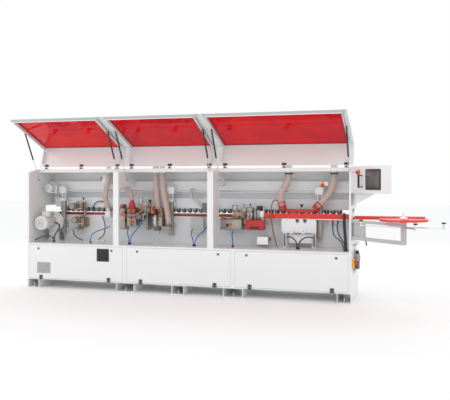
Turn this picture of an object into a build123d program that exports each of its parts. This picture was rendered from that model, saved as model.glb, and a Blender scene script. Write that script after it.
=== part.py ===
from build123d import *
import math
import os

# Edge banding machine. Millimetres, +Z up, +X from outfeed (left) to infeed (right), -Y the operator
# side. Origin: centre of the base's footprint, on the floor.

os.makedirs("parts", exist_ok=True)

# ---- driving dimensions ----
LENGTH = 3900.0
DEPTH = 750.0
FOOT_HEIGHT = 105.0
BASE_TOP = 540.0
UPPER_TOP = 1440.0
UPPER_BACK = 200.0
WORK_HEIGHT = 900.0
PANEL_EDGE_Y = 95.0
MAX_PANEL = 60.0
MIN_PANEL = 8.0
SHEET = 4.0

LEFT = -LENGTH / 2
RIGHT = LENGTH / 2
FRONT = -DEPTH / 2
BACK = DEPTH / 2

# base
BEAM_PLATE = 6.0
BEAMS = ((-1875, 150), (-655, 230), (0, 150), (655, 230), (1875, 150))
DOOR_POSTS = (-655, 655)
DOOR_SPANS = ((-1919, -681), (-629, 629), (681, 1919))
DOOR_LOW = 121.0
DOOR_HIGH = 518.0
DOOR_RETURN = 18.0
DOOR_AXIS = (0, FRONT - 6, 119.5)
CLIP_X = ((-1763, -860), (-452, 445), (849, 1751))

# upper structure
WALL = 20.0
SLOT_LOW = 862.0
SLOT_HIGH = 985.0
SLOT_FRONT = -2.0
POSTS = (-768, 393)
POST_WIDTH = 70.0
POST_DEPTH = 225.0
LEFT_POST_DEEP = 1215.0
HINGE_BEAM = (-150, -100, 1398, 1440)

# hoods
HOOD_AXIS = (0, -119, 1455)
HOOD_BEND = (-383, 1434)
HOOD_LOW = 664.0
HOOD_OPEN = 113.3
HOOD_SPANS = ((-1948, -770), (-766, 391), (395, 1948))
HOOD_FACES = ((-1930, -803), (-733, 358), (428, 1930))
HOOD_HINGE_X = ((-1847, -1361, -876), (-685, -193, 299), (489, 1181, 1873))
HOOD_SHEET = 3.0
HOOD_LIP = 45.0

# gas struts
STRUT_FOOT = (-174, 1302)
STRUT_HEAD_CLOSED = (-345, 970)
STRUT_OFFSET = 15.0
ROD_LENGTH = 330.0
CYLINDER_LENGTH = 345.0

# transport
SPROCKET_X = 1800.0
SPROCKET_Z = 780.0
SPROCKET_R = 82.0
CHAIN_INNER = 84.0
CHAIN_OUTER = 120.0
CHAIN_Y = (125, 185)
BED_FRONT = 110.0
BED_BACK = 240.0
BED_TOP = 866.0
PRESS_BEAM = (115, 185, 965, 1085)
WHEEL_PITCH = 72.0
WHEEL_FIRST = -1761.0
WHEEL_COUNT = 50
WHEEL_R = 26.0
JACKS = (-1692, -233, 1558)
LIFT_SHAFT = (35, 1175)
UPPER_BEAM = (120, 190, 1155, 1290)

# infeed
FENCE_LOW = 868.0
FENCE_HIGH = 906.0
GUARD_HIGH = 926.0
FENCE_END = 2697.0
STAND_FOOT = (1950, -330)
STAND_ANGLE = -43.1
STAND_REACH = 753.0
TRAY_R = 230.0
TRAY_LOW = 906.0
TRAY_HIGH = 928.0
COIL_ARMS = ((0, 366), (-62, 239), (151, 486))

# control box
PANEL_ANGLE = -50.3
PANEL_FOOT = (RIGHT, -372)
PANEL_WIDTH = 540.0
PANEL_LOW = 1166.0
PANEL_HIGH = 1445.0

# extraction
SPIGOT_Y = -12.0
SPIGOT_LOW = 1385.0
ROOF_HOLE = 44.5
HOSES = (
    (32, [(-1040, -12, 1385), (-1040, -12, 1300), (-1066, -20, 1215), (-1082, -26, 1125), (-1068, -30, 1040),
          (-1042, -32, 962)]),
    (38, [(-415, -12, 1385), (-415, -12, 1290), (-402, -26, 1190), (-386, -36, 1085), (-372, -42, 985)]),
    (38, [(-325, -12, 1385), (-325, -12, 1300), (-310, -34, 1210), (-286, -50, 1110), (-262, -56, 1005),
          (-242, -60, 900), (-226, -64, 805)]),
    (41, [(1213, -12, 1385), (1213, -12, 1300), (1162, -26, 1215), (1112, -36, 1135), (1134, -42, 1050)]),
    (41, [(1727, -12, 1385), (1727, -12, 1295), (1704, -24, 1200), (1646, -34, 1115), (1576, -40, 1040)]),
)


def block(x0, x1, y0, y1, z0, z1):
    """A box between its lowest and highest corners."""
    centre = Pos((x0 + x1) / 2, (y0 + y1) / 2, (z0 + z1) / 2)
    return centre * Box(x1 - x0, y1 - y0, z1 - z0)


def rod(start, end, radius, bore=0.0):
    """A round bar, or a tube when it has a bore, from one point to another."""
    a = Vector(*start)
    b = Vector(*end)
    length = (b - a).length
    place = Plane(origin=a, z_dir=(b - a).normalized()).location
    low = (Align.CENTER, Align.CENTER, Align.MIN)
    bar = place * Cylinder(radius, length, align=low)
    if bore:
        bar -= place * Cylinder(bore, length, align=low)
    return bar


def plate_yz(points, x0, x1):
    """A flat plate across the machine: an outline of (y, z) points between two x values."""
    face = make_face(Polyline(*[(y, z) for y, z in points], close=True))
    return Pos(x0, 0, 0) * extrude(Plane.YZ * face, amount=x1 - x0)


def plate_xy(points, z0, z1):
    """A level plate: an outline of (x, y) points between two heights."""
    face = make_face(Polyline(*points, close=True))
    return Pos(0, 0, z0) * extrude(face, amount=z1 - z0)


def channel(x0, x1, y0, y1, z0, z1, wall):
    """A rectangular tube along X, as four flat plates that meet face to face."""
    return [
        block(x0, x1, y0, y1, z0, z0 + wall),
        block(x0, x1, y0, y1, z1 - wall, z1),
        block(x0, x1, y0, y0 + wall, z0 + wall, z1 - wall),
        block(x0, x1, y1 - wall, y1, z0 + wall, z1 - wall),
    ]


def turned(shape, angle, axis_point):
    """A shape turned about an axis along X."""
    return shape.rotate(Axis(axis_point, (1, 0, 0)), angle)


def tube(points, radius):
    """A hose or cable: straight runs joined by arcs as large as the runs allow."""
    route = [Vector(*p) for p in points]
    radii = []
    for before, here, after in zip(route, route[1:], route[2:]):
        shorter = min((here - before).length, (after - here).length)
        turn = math.radians((here - before).get_angle(after - here))
        radii.append(0.45 * shorter / math.tan(turn / 2))
    path = FilletPolyline(*route, radius=radii)
    start = Plane(origin=route[0], z_dir=route[1] - route[0])
    body = sweep(start * Circle(radius), path=path)
    section = math.pi * radius ** 2 * path.length
    print(f"  tube r{radius}: length {path.length:.0f}, smallest bend {min(radii):.0f},"
          f" volume ratio {body.volume / section:.4f}")
    return body


def hose_end(route, radius, reach):
    """A rigid cuff that carries on from a hose's lower end."""
    end = Vector(*route[-1])
    along = (end - Vector(*route[-2])).normalized()
    return rod(tuple(end), tuple(end + along * reach), radius)


def save(name, *pieces):
    """Write one node: every solid of its pieces, in one STEP file."""
    solids = []
    for piece in pieces:
        group = piece if isinstance(piece, (list, tuple)) else [piece]
        for shape in group:
            solids.extend(shape.solids())
    export_step(Compound(solids), f"parts/{name}.step")
    print(f"{name}: {len(solids)} solids")


# ---- base ----
def floor_beams():
    """Open rectangular tubes that run from front to back."""
    parts = []
    for x, width in BEAMS:
        x0 = x - width / 2
        x1 = x + width / 2
        y0 = FRONT + 8
        y1 = BACK - 8
        inner_low = BEAM_PLATE
        inner_high = FOOT_HEIGHT - BEAM_PLATE
        parts.append(block(x0, x1, y0, y1, 0, inner_low))
        parts.append(block(x0, x1, y0, y1, inner_high, FOOT_HEIGHT))
        parts.append(block(x0, x0 + BEAM_PLATE, y0, y1, inner_low, inner_high))
        parts.append(block(x1 - BEAM_PLATE, x1, y0, y1, inner_low, inner_high))
    return parts


def levelling_bolts():
    """A washer, a nut and a threaded end on each beam's lower plate, front and back."""
    parts = []
    for x, _ in BEAMS:
        for y in (FRONT + 45, BACK - 45):
            washer = rod((x, y, 6), (x, y, 10), 19)
            nut = Pos(x, y, 10) * extrude(RegularPolygon(16, 6), amount=14)
            stem = rod((x, y, 24), (x, y, 52), 8)
            parts.append(washer + nut + stem)
    return parts


def base_cabinet():
    """The lower cabinet, from flat plates."""
    low = FOOT_HEIGHT + SHEET
    high = BASE_TOP - SHEET
    inner_left = LEFT + SHEET
    inner_right = RIGHT - SHEET
    rail_back = FRONT + 20
    parts = [
        block(LEFT, RIGHT, FRONT, BACK, FOOT_HEIGHT, low),
        block(LEFT, RIGHT, FRONT, BACK, high, BASE_TOP),
        block(LEFT, inner_left, FRONT, BACK, low, high),
        block(inner_right, RIGHT, FRONT, BACK, low, high),
        block(inner_left, inner_right, BACK - SHEET, BACK, low, high),
        block(inner_left, inner_right, FRONT, rail_back, DOOR_HIGH + 3, high),
        block(inner_left, inner_right, FRONT, rail_back, low, DOOR_LOW - 3),
    ]
    for x in DOOR_POSTS:
        parts.append(block(x - 24, x + 24, FRONT, rail_back, DOOR_LOW - 3, DOOR_HIGH + 3))
        parts.append(block(x - 2, x + 2, rail_back, BACK - SHEET, low, high))
    parts.append(block(inner_left, inner_left + 25, FRONT, rail_back, DOOR_LOW - 3, DOOR_HIGH + 3))
    parts.append(block(inner_right - 25, inner_right, FRONT, rail_back, DOOR_LOW - 3, DOOR_HIGH + 3))
    return parts


def door(x0, x1, clips):
    """A door panel with folded edges, its two clip leaves and their pins."""
    skin = FRONT + 2
    inner = FRONT + DOOR_RETURN
    parts = [
        block(x0, x1, FRONT, skin, DOOR_LOW, DOOR_HIGH),
        block(x0, x1, skin, inner, DOOR_LOW, DOOR_LOW + 2),
        block(x0, x1, skin, inner, DOOR_HIGH - 2, DOOR_HIGH),
        block(x0, x0 + 2, skin, inner, DOOR_LOW + 2, DOOR_HIGH - 2),
        block(x1 - 2, x1, skin, inner, DOOR_LOW + 2, DOOR_HIGH - 2),
    ]
    y = DOOR_AXIS[1]
    z = DOOR_AXIS[2]
    for x in clips:
        leaf = block(x - 22, x + 22, FRONT - 3, FRONT, 125, 155)
        pin = rod((x - 22, y, z), (x + 22, y, z), 2.5)
        for near, far in ((-22, -8), (8, 22)):
            leaf += rod((x + near, y, z), (x + far, y, z), 4.5)
            leaf += block(x + near, x + far, y - 1, FRONT - 1.5, z + 1, 127)
        parts.append(leaf + pin)
    return parts


# ---- upper structure ----
def end_walls():
    """Two end walls, each in three plates round the panel slot at its back edge."""
    front_plate = [
        (FRONT, BASE_TOP), (SLOT_FRONT, BASE_TOP), (SLOT_FRONT, UPPER_TOP), (-155, UPPER_TOP), (FRONT, 1398),
    ]
    parts = []
    for x0 in (LEFT, RIGHT - WALL):
        parts.append(plate_yz(front_plate, x0, x0 + WALL))
        parts.append(block(x0, x0 + WALL, SLOT_FRONT, UPPER_BACK, BASE_TOP, SLOT_LOW))
        parts.append(block(x0, x0 + WALL, SLOT_FRONT, UPPER_BACK, SLOT_HIGH, UPPER_TOP))
    return parts


def upper_casing():
    """Roof and rear skin, with a spigot over each extraction hose."""
    inner = RIGHT - WALL
    roof_low = UPPER_TOP - 3
    front = SPIGOT_Y - ROOF_HOLE
    back = SPIGOT_Y + ROOF_HOLE
    parts = [
        block(-inner, inner, HINGE_BEAM[1], front, roof_low, UPPER_TOP),
        block(-inner, inner, back, UPPER_BACK - 3, roof_low, UPPER_TOP),
        block(-inner, inner, UPPER_BACK - 3, UPPER_BACK, SLOT_HIGH, UPPER_TOP),
    ]
    edge = -inner
    for radius, route in HOSES:
        x = route[0][0]
        parts.append(block(edge, x - ROOF_HOLE, front, back, roof_low, UPPER_TOP))
        edge = x + ROOF_HOLE
        ring = rod((x, SPIGOT_Y, UPPER_TOP), (x, SPIGOT_Y, UPPER_TOP + 3), radius + 6, radius - 2)
        neck = rod((x, SPIGOT_Y, SPIGOT_LOW), (x, SPIGOT_Y, 1530), radius, radius - 2)
        parts.append(ring + neck)
    parts.append(block(edge, inner, front, back, roof_low, UPPER_TOP))
    return parts


def upper_frame():
    """Front posts, hinge beam and the fixed beam that carries the jacks."""
    inner = RIGHT - WALL
    half = POST_WIDTH / 2
    post_back = FRONT + POST_DEPTH
    parts = channel(-inner, inner, *HINGE_BEAM, 3)
    parts += channel(-inner, inner, *UPPER_BEAM, 5)
    for x in POSTS:
        deep_from = LEFT_POST_DEEP if x < 0 else BASE_TOP
        parts.append(block(x - half, x + half, FRONT, FRONT + SHEET, BASE_TOP, 1398))
        for side in (x - half, x + half - SHEET):
            parts.append(block(side, side + SHEET, FRONT + SHEET, post_back, deep_from, 1398))
            if x < 0:
                parts.append(block(side, side + SHEET, FRONT + SHEET, FRONT + 32, BASE_TOP, deep_from))
        parts.append(block(x - half + SHEET, x + half - SHEET, FRONT + SHEET, post_back, 1394, 1398))
        parts.append(block(x - 20, x + 20, HINGE_BEAM[1], UPPER_BEAM[0], 1230, 1394))
    return parts


def hinge_leaves():
    """Fixed leaves of the door clips and hood hinges, and the struts' lower studs."""
    parts = []
    y = DOOR_AXIS[1]
    z = DOOR_AXIS[2]
    for pair in CLIP_X:
        for x in pair:
            leaf = block(x - 22, x + 22, FRONT - 3, FRONT, FOOT_HEIGHT, 113)
            leaf += block(x - 7, x + 7, y - 1, FRONT - 1.5, 111, z - 1)
            leaf += rod((x - 7, y, z), (x + 7, y, z), 4.5)
            parts.append(leaf - rod((x - 7, y, z), (x + 7, y, z), 2.6))
    y = HOOD_AXIS[1]
    z = HOOD_AXIS[2]
    for group in HOOD_HINGE_X:
        for x in group:
            leaf = block(x - 24, x + 24, y - 20, y + 15, UPPER_TOP, UPPER_TOP + 4)
            leaf += block(x - 8, x + 8, y - 5, y + 5, UPPER_TOP + 4, z)
            leaf += rod((x - 8, y, z), (x + 8, y, z), 8)
            parts.append(leaf - rod((x - 8, y, z), (x + 8, y, z), 4.1))
    for left_face, right_face in HOOD_FACES:
        for face, inward in ((left_face, 1), (right_face, -1)):
            start = (face, *STRUT_FOOT)
            end = (face + inward * (STRUT_OFFSET + 8), *STRUT_FOOT)
            parts.append(rod(start, end, 4))
    return parts


# ---- hoods ----
def hood(index):
    """A folded hood, modelled closed and then swung open."""
    x0, x1 = HOOD_SPANS[index]
    left_face, right_face = HOOD_FACES[index]
    half = HOOD_SHEET / 2
    bend_y, bend_z = HOOD_BEND
    drop = HOOD_AXIS[2] - bend_z
    run = HOOD_AXIS[1] - bend_y
    tilt = math.degrees(math.atan2(drop, run))
    top = Location(HOOD_AXIS, (tilt, 0, 0))
    reach = math.hypot(drop, run) - 1.8
    outer = bend_y - half
    inner = bend_y + half
    lip = inner + HOOD_LIP - half
    side_left = left_face + 47
    side_right = right_face - 47
    parts = [
        top * block(x0, x1, -reach, -14, -half, half),
        block(x0, x1, outer, inner, 1404, bend_z + 3),
        block(x0, x1, outer, inner, HOOD_LOW, HOOD_LOW + 45),
        block(x0, side_left, outer, inner, HOOD_LOW + 45, 1404),
        block(side_right, x1, outer, inner, HOOD_LOW + 45, 1404),
        block(left_face + 35, right_face - 35, inner, lip, HOOD_LOW, HOOD_LOW + 3),
    ]
    for flange, stud_face, stud_end in (
        (left_face + 32, left_face + 32, left_face + STRUT_OFFSET + 9.5),
        (right_face - 35, right_face - 32, right_face - STRUT_OFFSET - 9.5),
    ):
        parts.append(top * block(flange, flange + 3, -214, -45, -46, -half))
        stud = rod((stud_face, *STRUT_HEAD_CLOSED), (stud_end, *STRUT_HEAD_CLOSED), 5)
        parts.append(block(flange, flange + 3, inner, lip, HOOD_LOW, 1428) + stud)
    axis_y = HOOD_AXIS[1]
    axis_z = HOOD_AXIS[2]
    for x in HOOD_HINGE_X[index]:
        leaf = top * block(x - 24, x + 24, -40, -12, -5, -half)
        pin = rod((x - 24, axis_y, axis_z), (x + 24, axis_y, axis_z), 4)
        for near, far in ((-24, -9), (9, 24)):
            leaf += rod((x + near, axis_y, axis_z), (x + far, axis_y, axis_z), 8)
            leaf += top * block(x + near, x + far, -16, 0, -5, -half)
        parts.append(leaf + pin)
    return [turned(part, -HOOD_OPEN, HOOD_AXIS) for part in parts]


def window(index):
    """The tinted sheet behind the hood's front frame."""
    left_face, right_face = HOOD_FACES[index]
    inner = HOOD_BEND[0] + HOOD_SHEET / 2
    sheet = block(left_face + 36, right_face - 36, inner, inner + 5, HOOD_LOW + 4, 1418)
    return turned(sheet, -HOOD_OPEN, HOOD_AXIS)


def strut_head_open():
    """The strut's upper pivot, (y, z), with the hood open."""
    y = STRUT_HEAD_CLOSED[0] - HOOD_AXIS[1]
    z = STRUT_HEAD_CLOSED[1] - HOOD_AXIS[2]
    angle = math.radians(-HOOD_OPEN)
    open_y = y * math.cos(angle) - z * math.sin(angle) + HOOD_AXIS[1]
    open_z = y * math.sin(angle) + z * math.cos(angle) + HOOD_AXIS[2]
    return open_y, open_z


def strut_points(index):
    """For both struts of a hood: the plane's x, and points along the strut by distance from its foot."""
    head = Vector(0, *strut_head_open())
    foot = Vector(0, *STRUT_FOOT)
    along = (head - foot).normalized()
    length = (head - foot).length
    left_face, right_face = HOOD_FACES[index]
    for x in (left_face + STRUT_OFFSET, right_face - STRUT_OFFSET):
        yield x, length, lambda distance, x=x: tuple(foot + along * distance + Vector(x, 0, 0))


def strut_rods(index):
    """Lower eye, rod and piston of both struts."""
    parts = []
    for x, _, at in strut_points(index):
        y, z = STRUT_FOOT
        eye = rod((x - 5, y, z), (x + 5, y, z), 9)
        bar = rod(at(0), at(ROD_LENGTH), 4)
        piston = rod(at(ROD_LENGTH - 8), at(ROD_LENGTH), 6.8)
        bore = rod((x - 5, y, z), (x + 5, y, z), 4.08)
        parts.append(eye + bar + piston - bore)
    return parts


def strut_cylinders(index):
    """Pressure tube with its end guide, and the upper eye that stops short of the hood's stud."""
    parts = []
    for x, length, at in strut_points(index):
        low = length - CYLINDER_LENGTH
        shell = rod(at(low), at(length - 5), 9)
        shell += rod((x - 8, *at(length)[1:]), (x + 8, *at(length)[1:]), 10)
        shell -= rod(at(low), at(low + 10), 4.1)
        shell -= rod(at(low + 10), at(length - 30), 7)
        parts.append(shell)
    return parts


# ---- transport ----
def bed_beam():
    """Front and rear bed plates, bulkheads, and the rail that carries the chain."""
    inner = RIGHT - WALL
    front_back = BED_FRONT + 8
    rear_front = BED_BACK - 8
    parts = [
        block(-1735, inner, BED_FRONT, front_back, BASE_TOP, BED_TOP),
        block(-inner, inner, rear_front, BED_BACK, BASE_TOP, BED_TOP),
        block(-1690, 1690, 135, 175, 820, SPROCKET_Z + CHAIN_INNER),
    ]
    for x in (-1600, -800, 0, 800, 1600):
        parts.append(block(x - 4, x + 4, front_back, rear_front, 700, 820))
    return parts


def feed_chain():
    """The pad chain: two straight runs, and pads round each sprocket."""
    y0, y1 = CHAIN_Y
    high = SPROCKET_Z + CHAIN_OUTER
    low = SPROCKET_Z - CHAIN_OUTER
    parts = [
        block(-SPROCKET_X, SPROCKET_X, y0, y1, SPROCKET_Z + CHAIN_INNER, high),
        block(-SPROCKET_X, SPROCKET_X, y0, y1, low, SPROCKET_Z - CHAIN_INNER),
    ]
    pads = 7
    middle = (CHAIN_INNER + CHAIN_OUTER) / 2
    for side in (-1, 1):
        for k in range(pads):
            lean = 180 / pads * (k + 0.5) - 90
            pad = Box(CHAIN_OUTER - CHAIN_INNER - 4, y1 - y0, 36)
            pad = Pos(middle, (y0 + y1) / 2, 0) * pad
            pad = pad.rotate(Axis.Y, lean + (0 if side > 0 else 180))
            parts.append(Pos(side * SPROCKET_X, 0, SPROCKET_Z) * pad)
    return parts


def sprocket(x, shaft_start, shaft_end):
    """A toothed chain wheel on its shaft."""
    teeth = 12
    middle = sum(CHAIN_Y) / 2
    wheel = rod((x, middle - 14, SPROCKET_Z), (x, middle + 14, SPROCKET_Z), SPROCKET_R)
    notch = rod((x + SPROCKET_R, middle - 14, SPROCKET_Z), (x + SPROCKET_R, middle + 14, SPROCKET_Z), 11)
    for k in range(teeth):
        wheel -= notch.rotate(Axis((x, 0, SPROCKET_Z), (0, 1, 0)), 360 / teeth * (k + 0.5))
    return wheel + rod((x, shaft_start, SPROCKET_Z), (x, shaft_end, SPROCKET_Z), 20)


def feed_motor():
    """The feed motor, its gearbox, terminal box and foot."""
    x = -SPROCKET_X
    z = SPROCKET_Z
    body = rod((x, -290, z), (x, -60, z), 78) + rod((x, -345, z), (x, -290, z), 87)
    body += rod((x, -60, z), (x, 16, z), 125)
    body += block(x - 60, x + 60, -40, 16, BASE_TOP, z - 100)
    body += block(x - 62, x + 62, -225, -110, z + 60, 915)
    return body


def pressure_beam():
    """The lifting beam, its brackets beside the jack columns, and the wheel rail."""
    y0, y1, z0, z1 = PRESS_BEAM
    parts = channel(-1860, 1900, y0, y1, z0, z1, 5)
    parts.append(block(-1800, 1800, 143, 157, 926, z0))
    for x in JACKS:
        parts.append(block(x - 40, x + 40, 62.3, y0, 990, 1045))
    return parts


def press_wheels():
    """Two rows of rubber pressure wheels, one each side of the wheel rail."""
    z = WORK_HEIGHT + MIN_PANEL + WHEEL_R
    parts = []
    for k in range(WHEEL_COUNT):
        x = WHEEL_FIRST + k * WHEEL_PITCH
        parts.append(rod((x, 121, z), (x, 143, z), WHEEL_R))
        parts.append(rod((x, 157, z), (x, 179, z), WHEEL_R))
    return parts


def lift_jacks():
    """Three screw jacks on their columns, and the lift motor with its gearbox."""
    y, z = LIFT_SHAFT
    parts = []
    for x in JACKS:
        parts.append(block(x - 25, x + 25, 18, 62, 640, 1040))
        parts.append(block(x - 25, x + 25, 62, BED_FRONT, 650, 700))
        parts.append(block(x - 25, x + 25, 62, BED_FRONT, 790, 850))
        parts.append(block(x - 35, x + 35, 8, 62, 1040, 1075))
        for side in (-20, 20):
            parts.append(rod((x + side, y, 1075), (x + side, y, 1137), 9))
        parts.append(rod((x, y, 1075), (x, y, 1137), 6))
        parts.append(block(x - 48, x + 48, y - 38, y + 40, 1137, 1225))
        parts.append(block(x - 30, x + 30, y + 40, UPPER_BEAM[0], 1165, 1215))
    motor = rod((-1830, -120, 1201), (-1830, -95, 1201), 50)
    motor += rod((-1830, -95, 1201), (-1830, 5, 1201), 45)
    motor += block(-1880, -1775, 0, 75, 1140, 1240)
    parts.append(motor)
    parts.append(block(-1860, -1795, 75, UPPER_BEAM[0], 1165, 1220))
    return parts


def lift_shaft():
    """Cross shaft lengths between the lift gearbox and the jacks."""
    y, z = LIFT_SHAFT
    gap = 0.5
    ends = [-1775 + gap]
    for x in JACKS:
        ends += [x - 48 - gap, x + 48 + gap]
    parts = []
    for x0, x1 in zip(ends[0:-1:2], ends[1:-1:2]):
        parts.append(rod((x0, y, z), (x1, y, z), 8))
    return parts


# ---- working units ----
def buffing_unit():
    """Two motors on cast arms, above and below the work line."""
    parts = []
    for x, z in ((-1524, 977), (-1489, 806)):
        motor = rod((x, -80, z), (x, 40, z), 40) + block(x - 38, x + 38, -60, 20, z - 38, z + 38)
        parts.append(motor)
    parts.append(block(-1486, -1400, -20, 56, 925, 1038))
    parts.append(block(-1451, -1370, -40, 56, 700, 850))
    parts.append(block(-1425, -1370, 56, BED_FRONT, 720, 830))
    parts.append(block(-1560, -1451, -40, BED_FRONT, 684, 700))
    parts.append(block(-1400, -1380, 20, 56, 850, 1030))
    parts.append(rod((-1407, 20, 1038), (-1407, 20, 1065), 4) + rod((-1407, 20, 1065), (-1407, 20, 1088), 14))
    return parts


def buff_wheel(x, z, radius):
    """A cotton wheel on the motor's shaft."""
    return rod((x, 62, z), (x, 92, z), radius) + rod((x, 40.5, z), (x, 62, z), 10)


def trim_unit():
    """Copying arms, motors, scales and knobs of the trimming station, and its dust cone."""
    parts = [
        block(-860, -770, -110, 0, 700, 1010),
        block(-760, -640, -100, 40, 900, 955),
        block(-760, -640, -100, 40, 740, 860),
        block(-760, -640, 40, BED_FRONT, 760, 840),
        block(-620, -520, -150, 60, 830, 905),
        block(-510, -415, -150, 60, 910, 985),
        block(-520, -500, -60, 60, 700, 1020),
        block(-520, -500, 60, BED_FRONT, 720, 820),
        block(-600, -520, -60, 20, 905, 1000),
    ]
    cone = Pos(-705, -60, 1000) * Cone(44, 22, 90)
    parts.append(cone + rod((-705, -60, 955), (-705, -60, 960), 44))
    parts.append(rod((-605, -20, 1000), (-605, -20, 1111), 20) + rod((-605, -20, 1111), (-605, -20, 1121), 9))
    knobs = ((-820, -120, 985), (-800, -120, 907), (-665, -110, 935), (-690, -110, 802))
    for x, y, z in knobs:
        parts.append(rod((x, y - 12, z), (x, y + 10, z), 20))
    radius, route = HOSES[0]
    parts.append(hose_end(route, radius + 2, 45))
    parts.append(block(-1066, -996, -66, 50, 850, 925))
    parts.append(block(-1056, -1006, 50, BED_FRONT, 790, 866))
    parts.append(rod((-470, -60, 985), (-470, -60, 1050), 5) + rod((-470, -60, 1050), (-470, -60, 1068), 18))
    return parts


def cutter(x, z, radius):
    """A trimming cutter with its shaft, on an axis across the machine."""
    shape = rod((x, 72, z), (x, 92, z), radius) + rod((x, 60.5, z), (x, 72, z), 9)
    for k in range(4):
        slot = block(x - 2.5, x + 2.5, 70, 94, z + radius - 6, z + radius + 2)
        shape -= slot.rotate(Axis((x, 0, z), (0, 1, 0)), 90 * k + 20)
    return shape


def scraping_unit():
    """Scraper block with an air cylinder, and the waste spool below."""
    parts = [
        block(-425, -304, -90, 50, 740, 880),
        block(-400, -310, 50, BED_FRONT, 760, 860),
        block(-412, -310, -60, 60, 905, 965),
        block(-350, -310, -60, 50, 880, 905),
        block(-420, -340, -80, -10, 700, 740),
        rod((-382, -112, 780), (-382, -112, 870), 22),
        rod((-375, -50, 665), (-375, -50, 700), 34),
        block(-304, -190, -110, -30, 735, 750),
    ]
    knob = rod((-392, -172, 926), (-392, -150, 926), 20)
    parts.append(knob + rod((-392, -150, 926), (-392, -60, 926), 6))
    for radius, route in HOSES[1:3]:
        parts.append(hose_end(route, radius + 2, 30))
    return parts


def end_trim_rails():
    """Base plate and slanted guide rails of the end trimming unit."""
    return [
        block(22, 178, 20, 48, 672, 868),
        block(60, 140, 48, BED_FRONT, 700, 850),
        block(0, 30, 50, 74, 1085, 1200),
        block(0, 30, 74, UPPER_BEAM[0], 1165, 1200),
        block(232, 266, 50, 76, 842, 888),
        block(232, 266, 76, BED_FRONT, 842, 862),
        rod((30, 62, 1092), (232, 62, 890), 5),
        rod((30, 62, 1128), (262, 62, 896), 5),
    ]


def end_trim_carriage():
    """Carriage plate and saw motor that slide along the rails."""
    plate = block(165, 262, 22, 54, 915, 1030)
    motor = rod((212, 88, 998), (330, 88, 998), 22)
    return plate + motor + block(215, 262, 54, 80, 985, 1011)


def end_trim_blade():
    """Cross-cut saw blade."""
    return rod((206, 88, 998), (209, 88, 998), 22) + rod((209, 88, 998), (211.5, 88, 998), 8)


def glue_pot():
    """Glue pot with its heater block and the applicator's housing."""
    parts = [
        block(742, 958, -160, -60, 737, 845),
        block(790, 930, -60, 60, 745, 830),
        block(800, 900, 60, BED_FRONT, 750, 820),
        block(840, 898, -30, 56, 845, 1005),
        rod((915, 0, 960), (915, 0, 1005), 20),
        block(880, 925, -40, 40, 850, 955),
        block(876, 1004, -150, -60, 574, 661),
        block(900, 980, -60, BED_FRONT, 600, 640),
    ]
    return parts


def glue_roller():
    """Applicator roller on its upright shaft."""
    return rod((800, 66, 851), (800, 66, 965), 25) + rod((800, 66, 833), (800, 66, 851), 8)


def roller_unit():
    """Pressure zone: base housing, head, air cylinder and the small rollers."""
    parts = [
        block(411, 669, -60, 98, 727, 845),
        block(560, 700, -50, 8, 860, 960),
        block(411, 669, -60, 8, 845, 860),
        block(664, 795, -50, 30, 935, 993),
        rod((577, -20, 960), (577, -20, 1016), 32),
        rod((764, -20, 993), (764, -20, 1012), 9),
    ]
    for x in (690, 730, 768):
        parts.append(rod((x, 12, 868), (x, 12, 935), 17))
    parts.append(block(672, 786, -20, 30, 845, 868))
    parts.append(block(669, 786, -20, 98, 790, 845))
    return parts


def press_roller():
    """Large driven pressure roller."""
    return rod((590, 54, 862), (590, 54, 940), 38) + rod((590, 54, 846), (590, 54, 862), 10)


def premill_unit():
    """Front plate, carrier and two motors of the pre-milling unit, with its guide columns."""
    parts = [
        block(1136, 1533, -50, -32, 708, 866),
        block(1160, 1510, -32, 60, 770, 800),
        block(1200, 1470, 60, BED_FRONT, 770, 800),
        rod((1265, 45, 600), (1265, 45, 770), 44),
        rod((1405, 45, 600), (1405, 45, 770), 44),
        block(1160, 1198, -60, -12, BASE_TOP, 708),
        block(1490, 1528, -60, -12, BASE_TOP, 708),
    ]
    for x in (1250, 1388):
        parts.append(rod((x, -72, 728), (x, -50, 728), 16))
    return parts


def premill_cutter(x):
    """A jointing cutter on its upright spindle."""
    body = rod((x, 45, 870), (x, 45, 934), 50) + rod((x, 45, 800.5), (x, 45, 870), 15)
    for k in range(4):
        slot = block(x - 3, x + 3, 45 + 42, 45 + 54, 868, 936)
        body -= slot.rotate(Axis((x, 45, 0), (0, 0, 1)), 90 * k)
    return body


def premill_hood():
    """Dust hood over the two cutters, with a hose port at each end and a clamp knob."""
    parts = [
        plate_xy([(1179, -55), (1519, -55), (1500, 60), (1200, 60)], 940, 984),
        block(1205, 1335, -30, 60, 984, 1000),
    ]
    for radius, route in HOSES[3:]:
        parts.append(hose_end(route, radius + 3, 90))
    parts.append(rod((1362, -20, 984), (1362, -20, 992), 6) + rod((1362, -20, 992), (1362, -20, 1012), 15))
    return parts


# ---- infeed ----
def infeed_fence():
    """Red guide fence: a slim bar along the infeed units, and the wide bar that runs out of the machine."""
    return [
        block(930, 1930, -31, -13, FENCE_LOW, GUARD_HIGH),
        block(1600, FENCE_END, 6, 92, FENCE_LOW, FENCE_HIGH),
        block(1600, 1640, -13, 6, FENCE_LOW, FENCE_HIGH),
        block(1660, 1880, 60, BED_FRONT, 800, FENCE_LOW),
    ]


def stand_place(x, y, z):
    """A point in the coil stand's own frame: along the stand, across it, and up."""
    return Pos(STAND_FOOT[0], STAND_FOOT[1], 0) * Rot(0, 0, STAND_ANGLE) * Pos(x, y, z)


def stand_block(x0, x1, y0, y1, z0, z1):
    """A box in the coil stand's own frame."""
    return stand_place((x0 + x1) / 2, (y0 + y1) / 2, (z0 + z1) / 2) * Box(x1 - x0, y1 - y0, z1 - z0)


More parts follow.
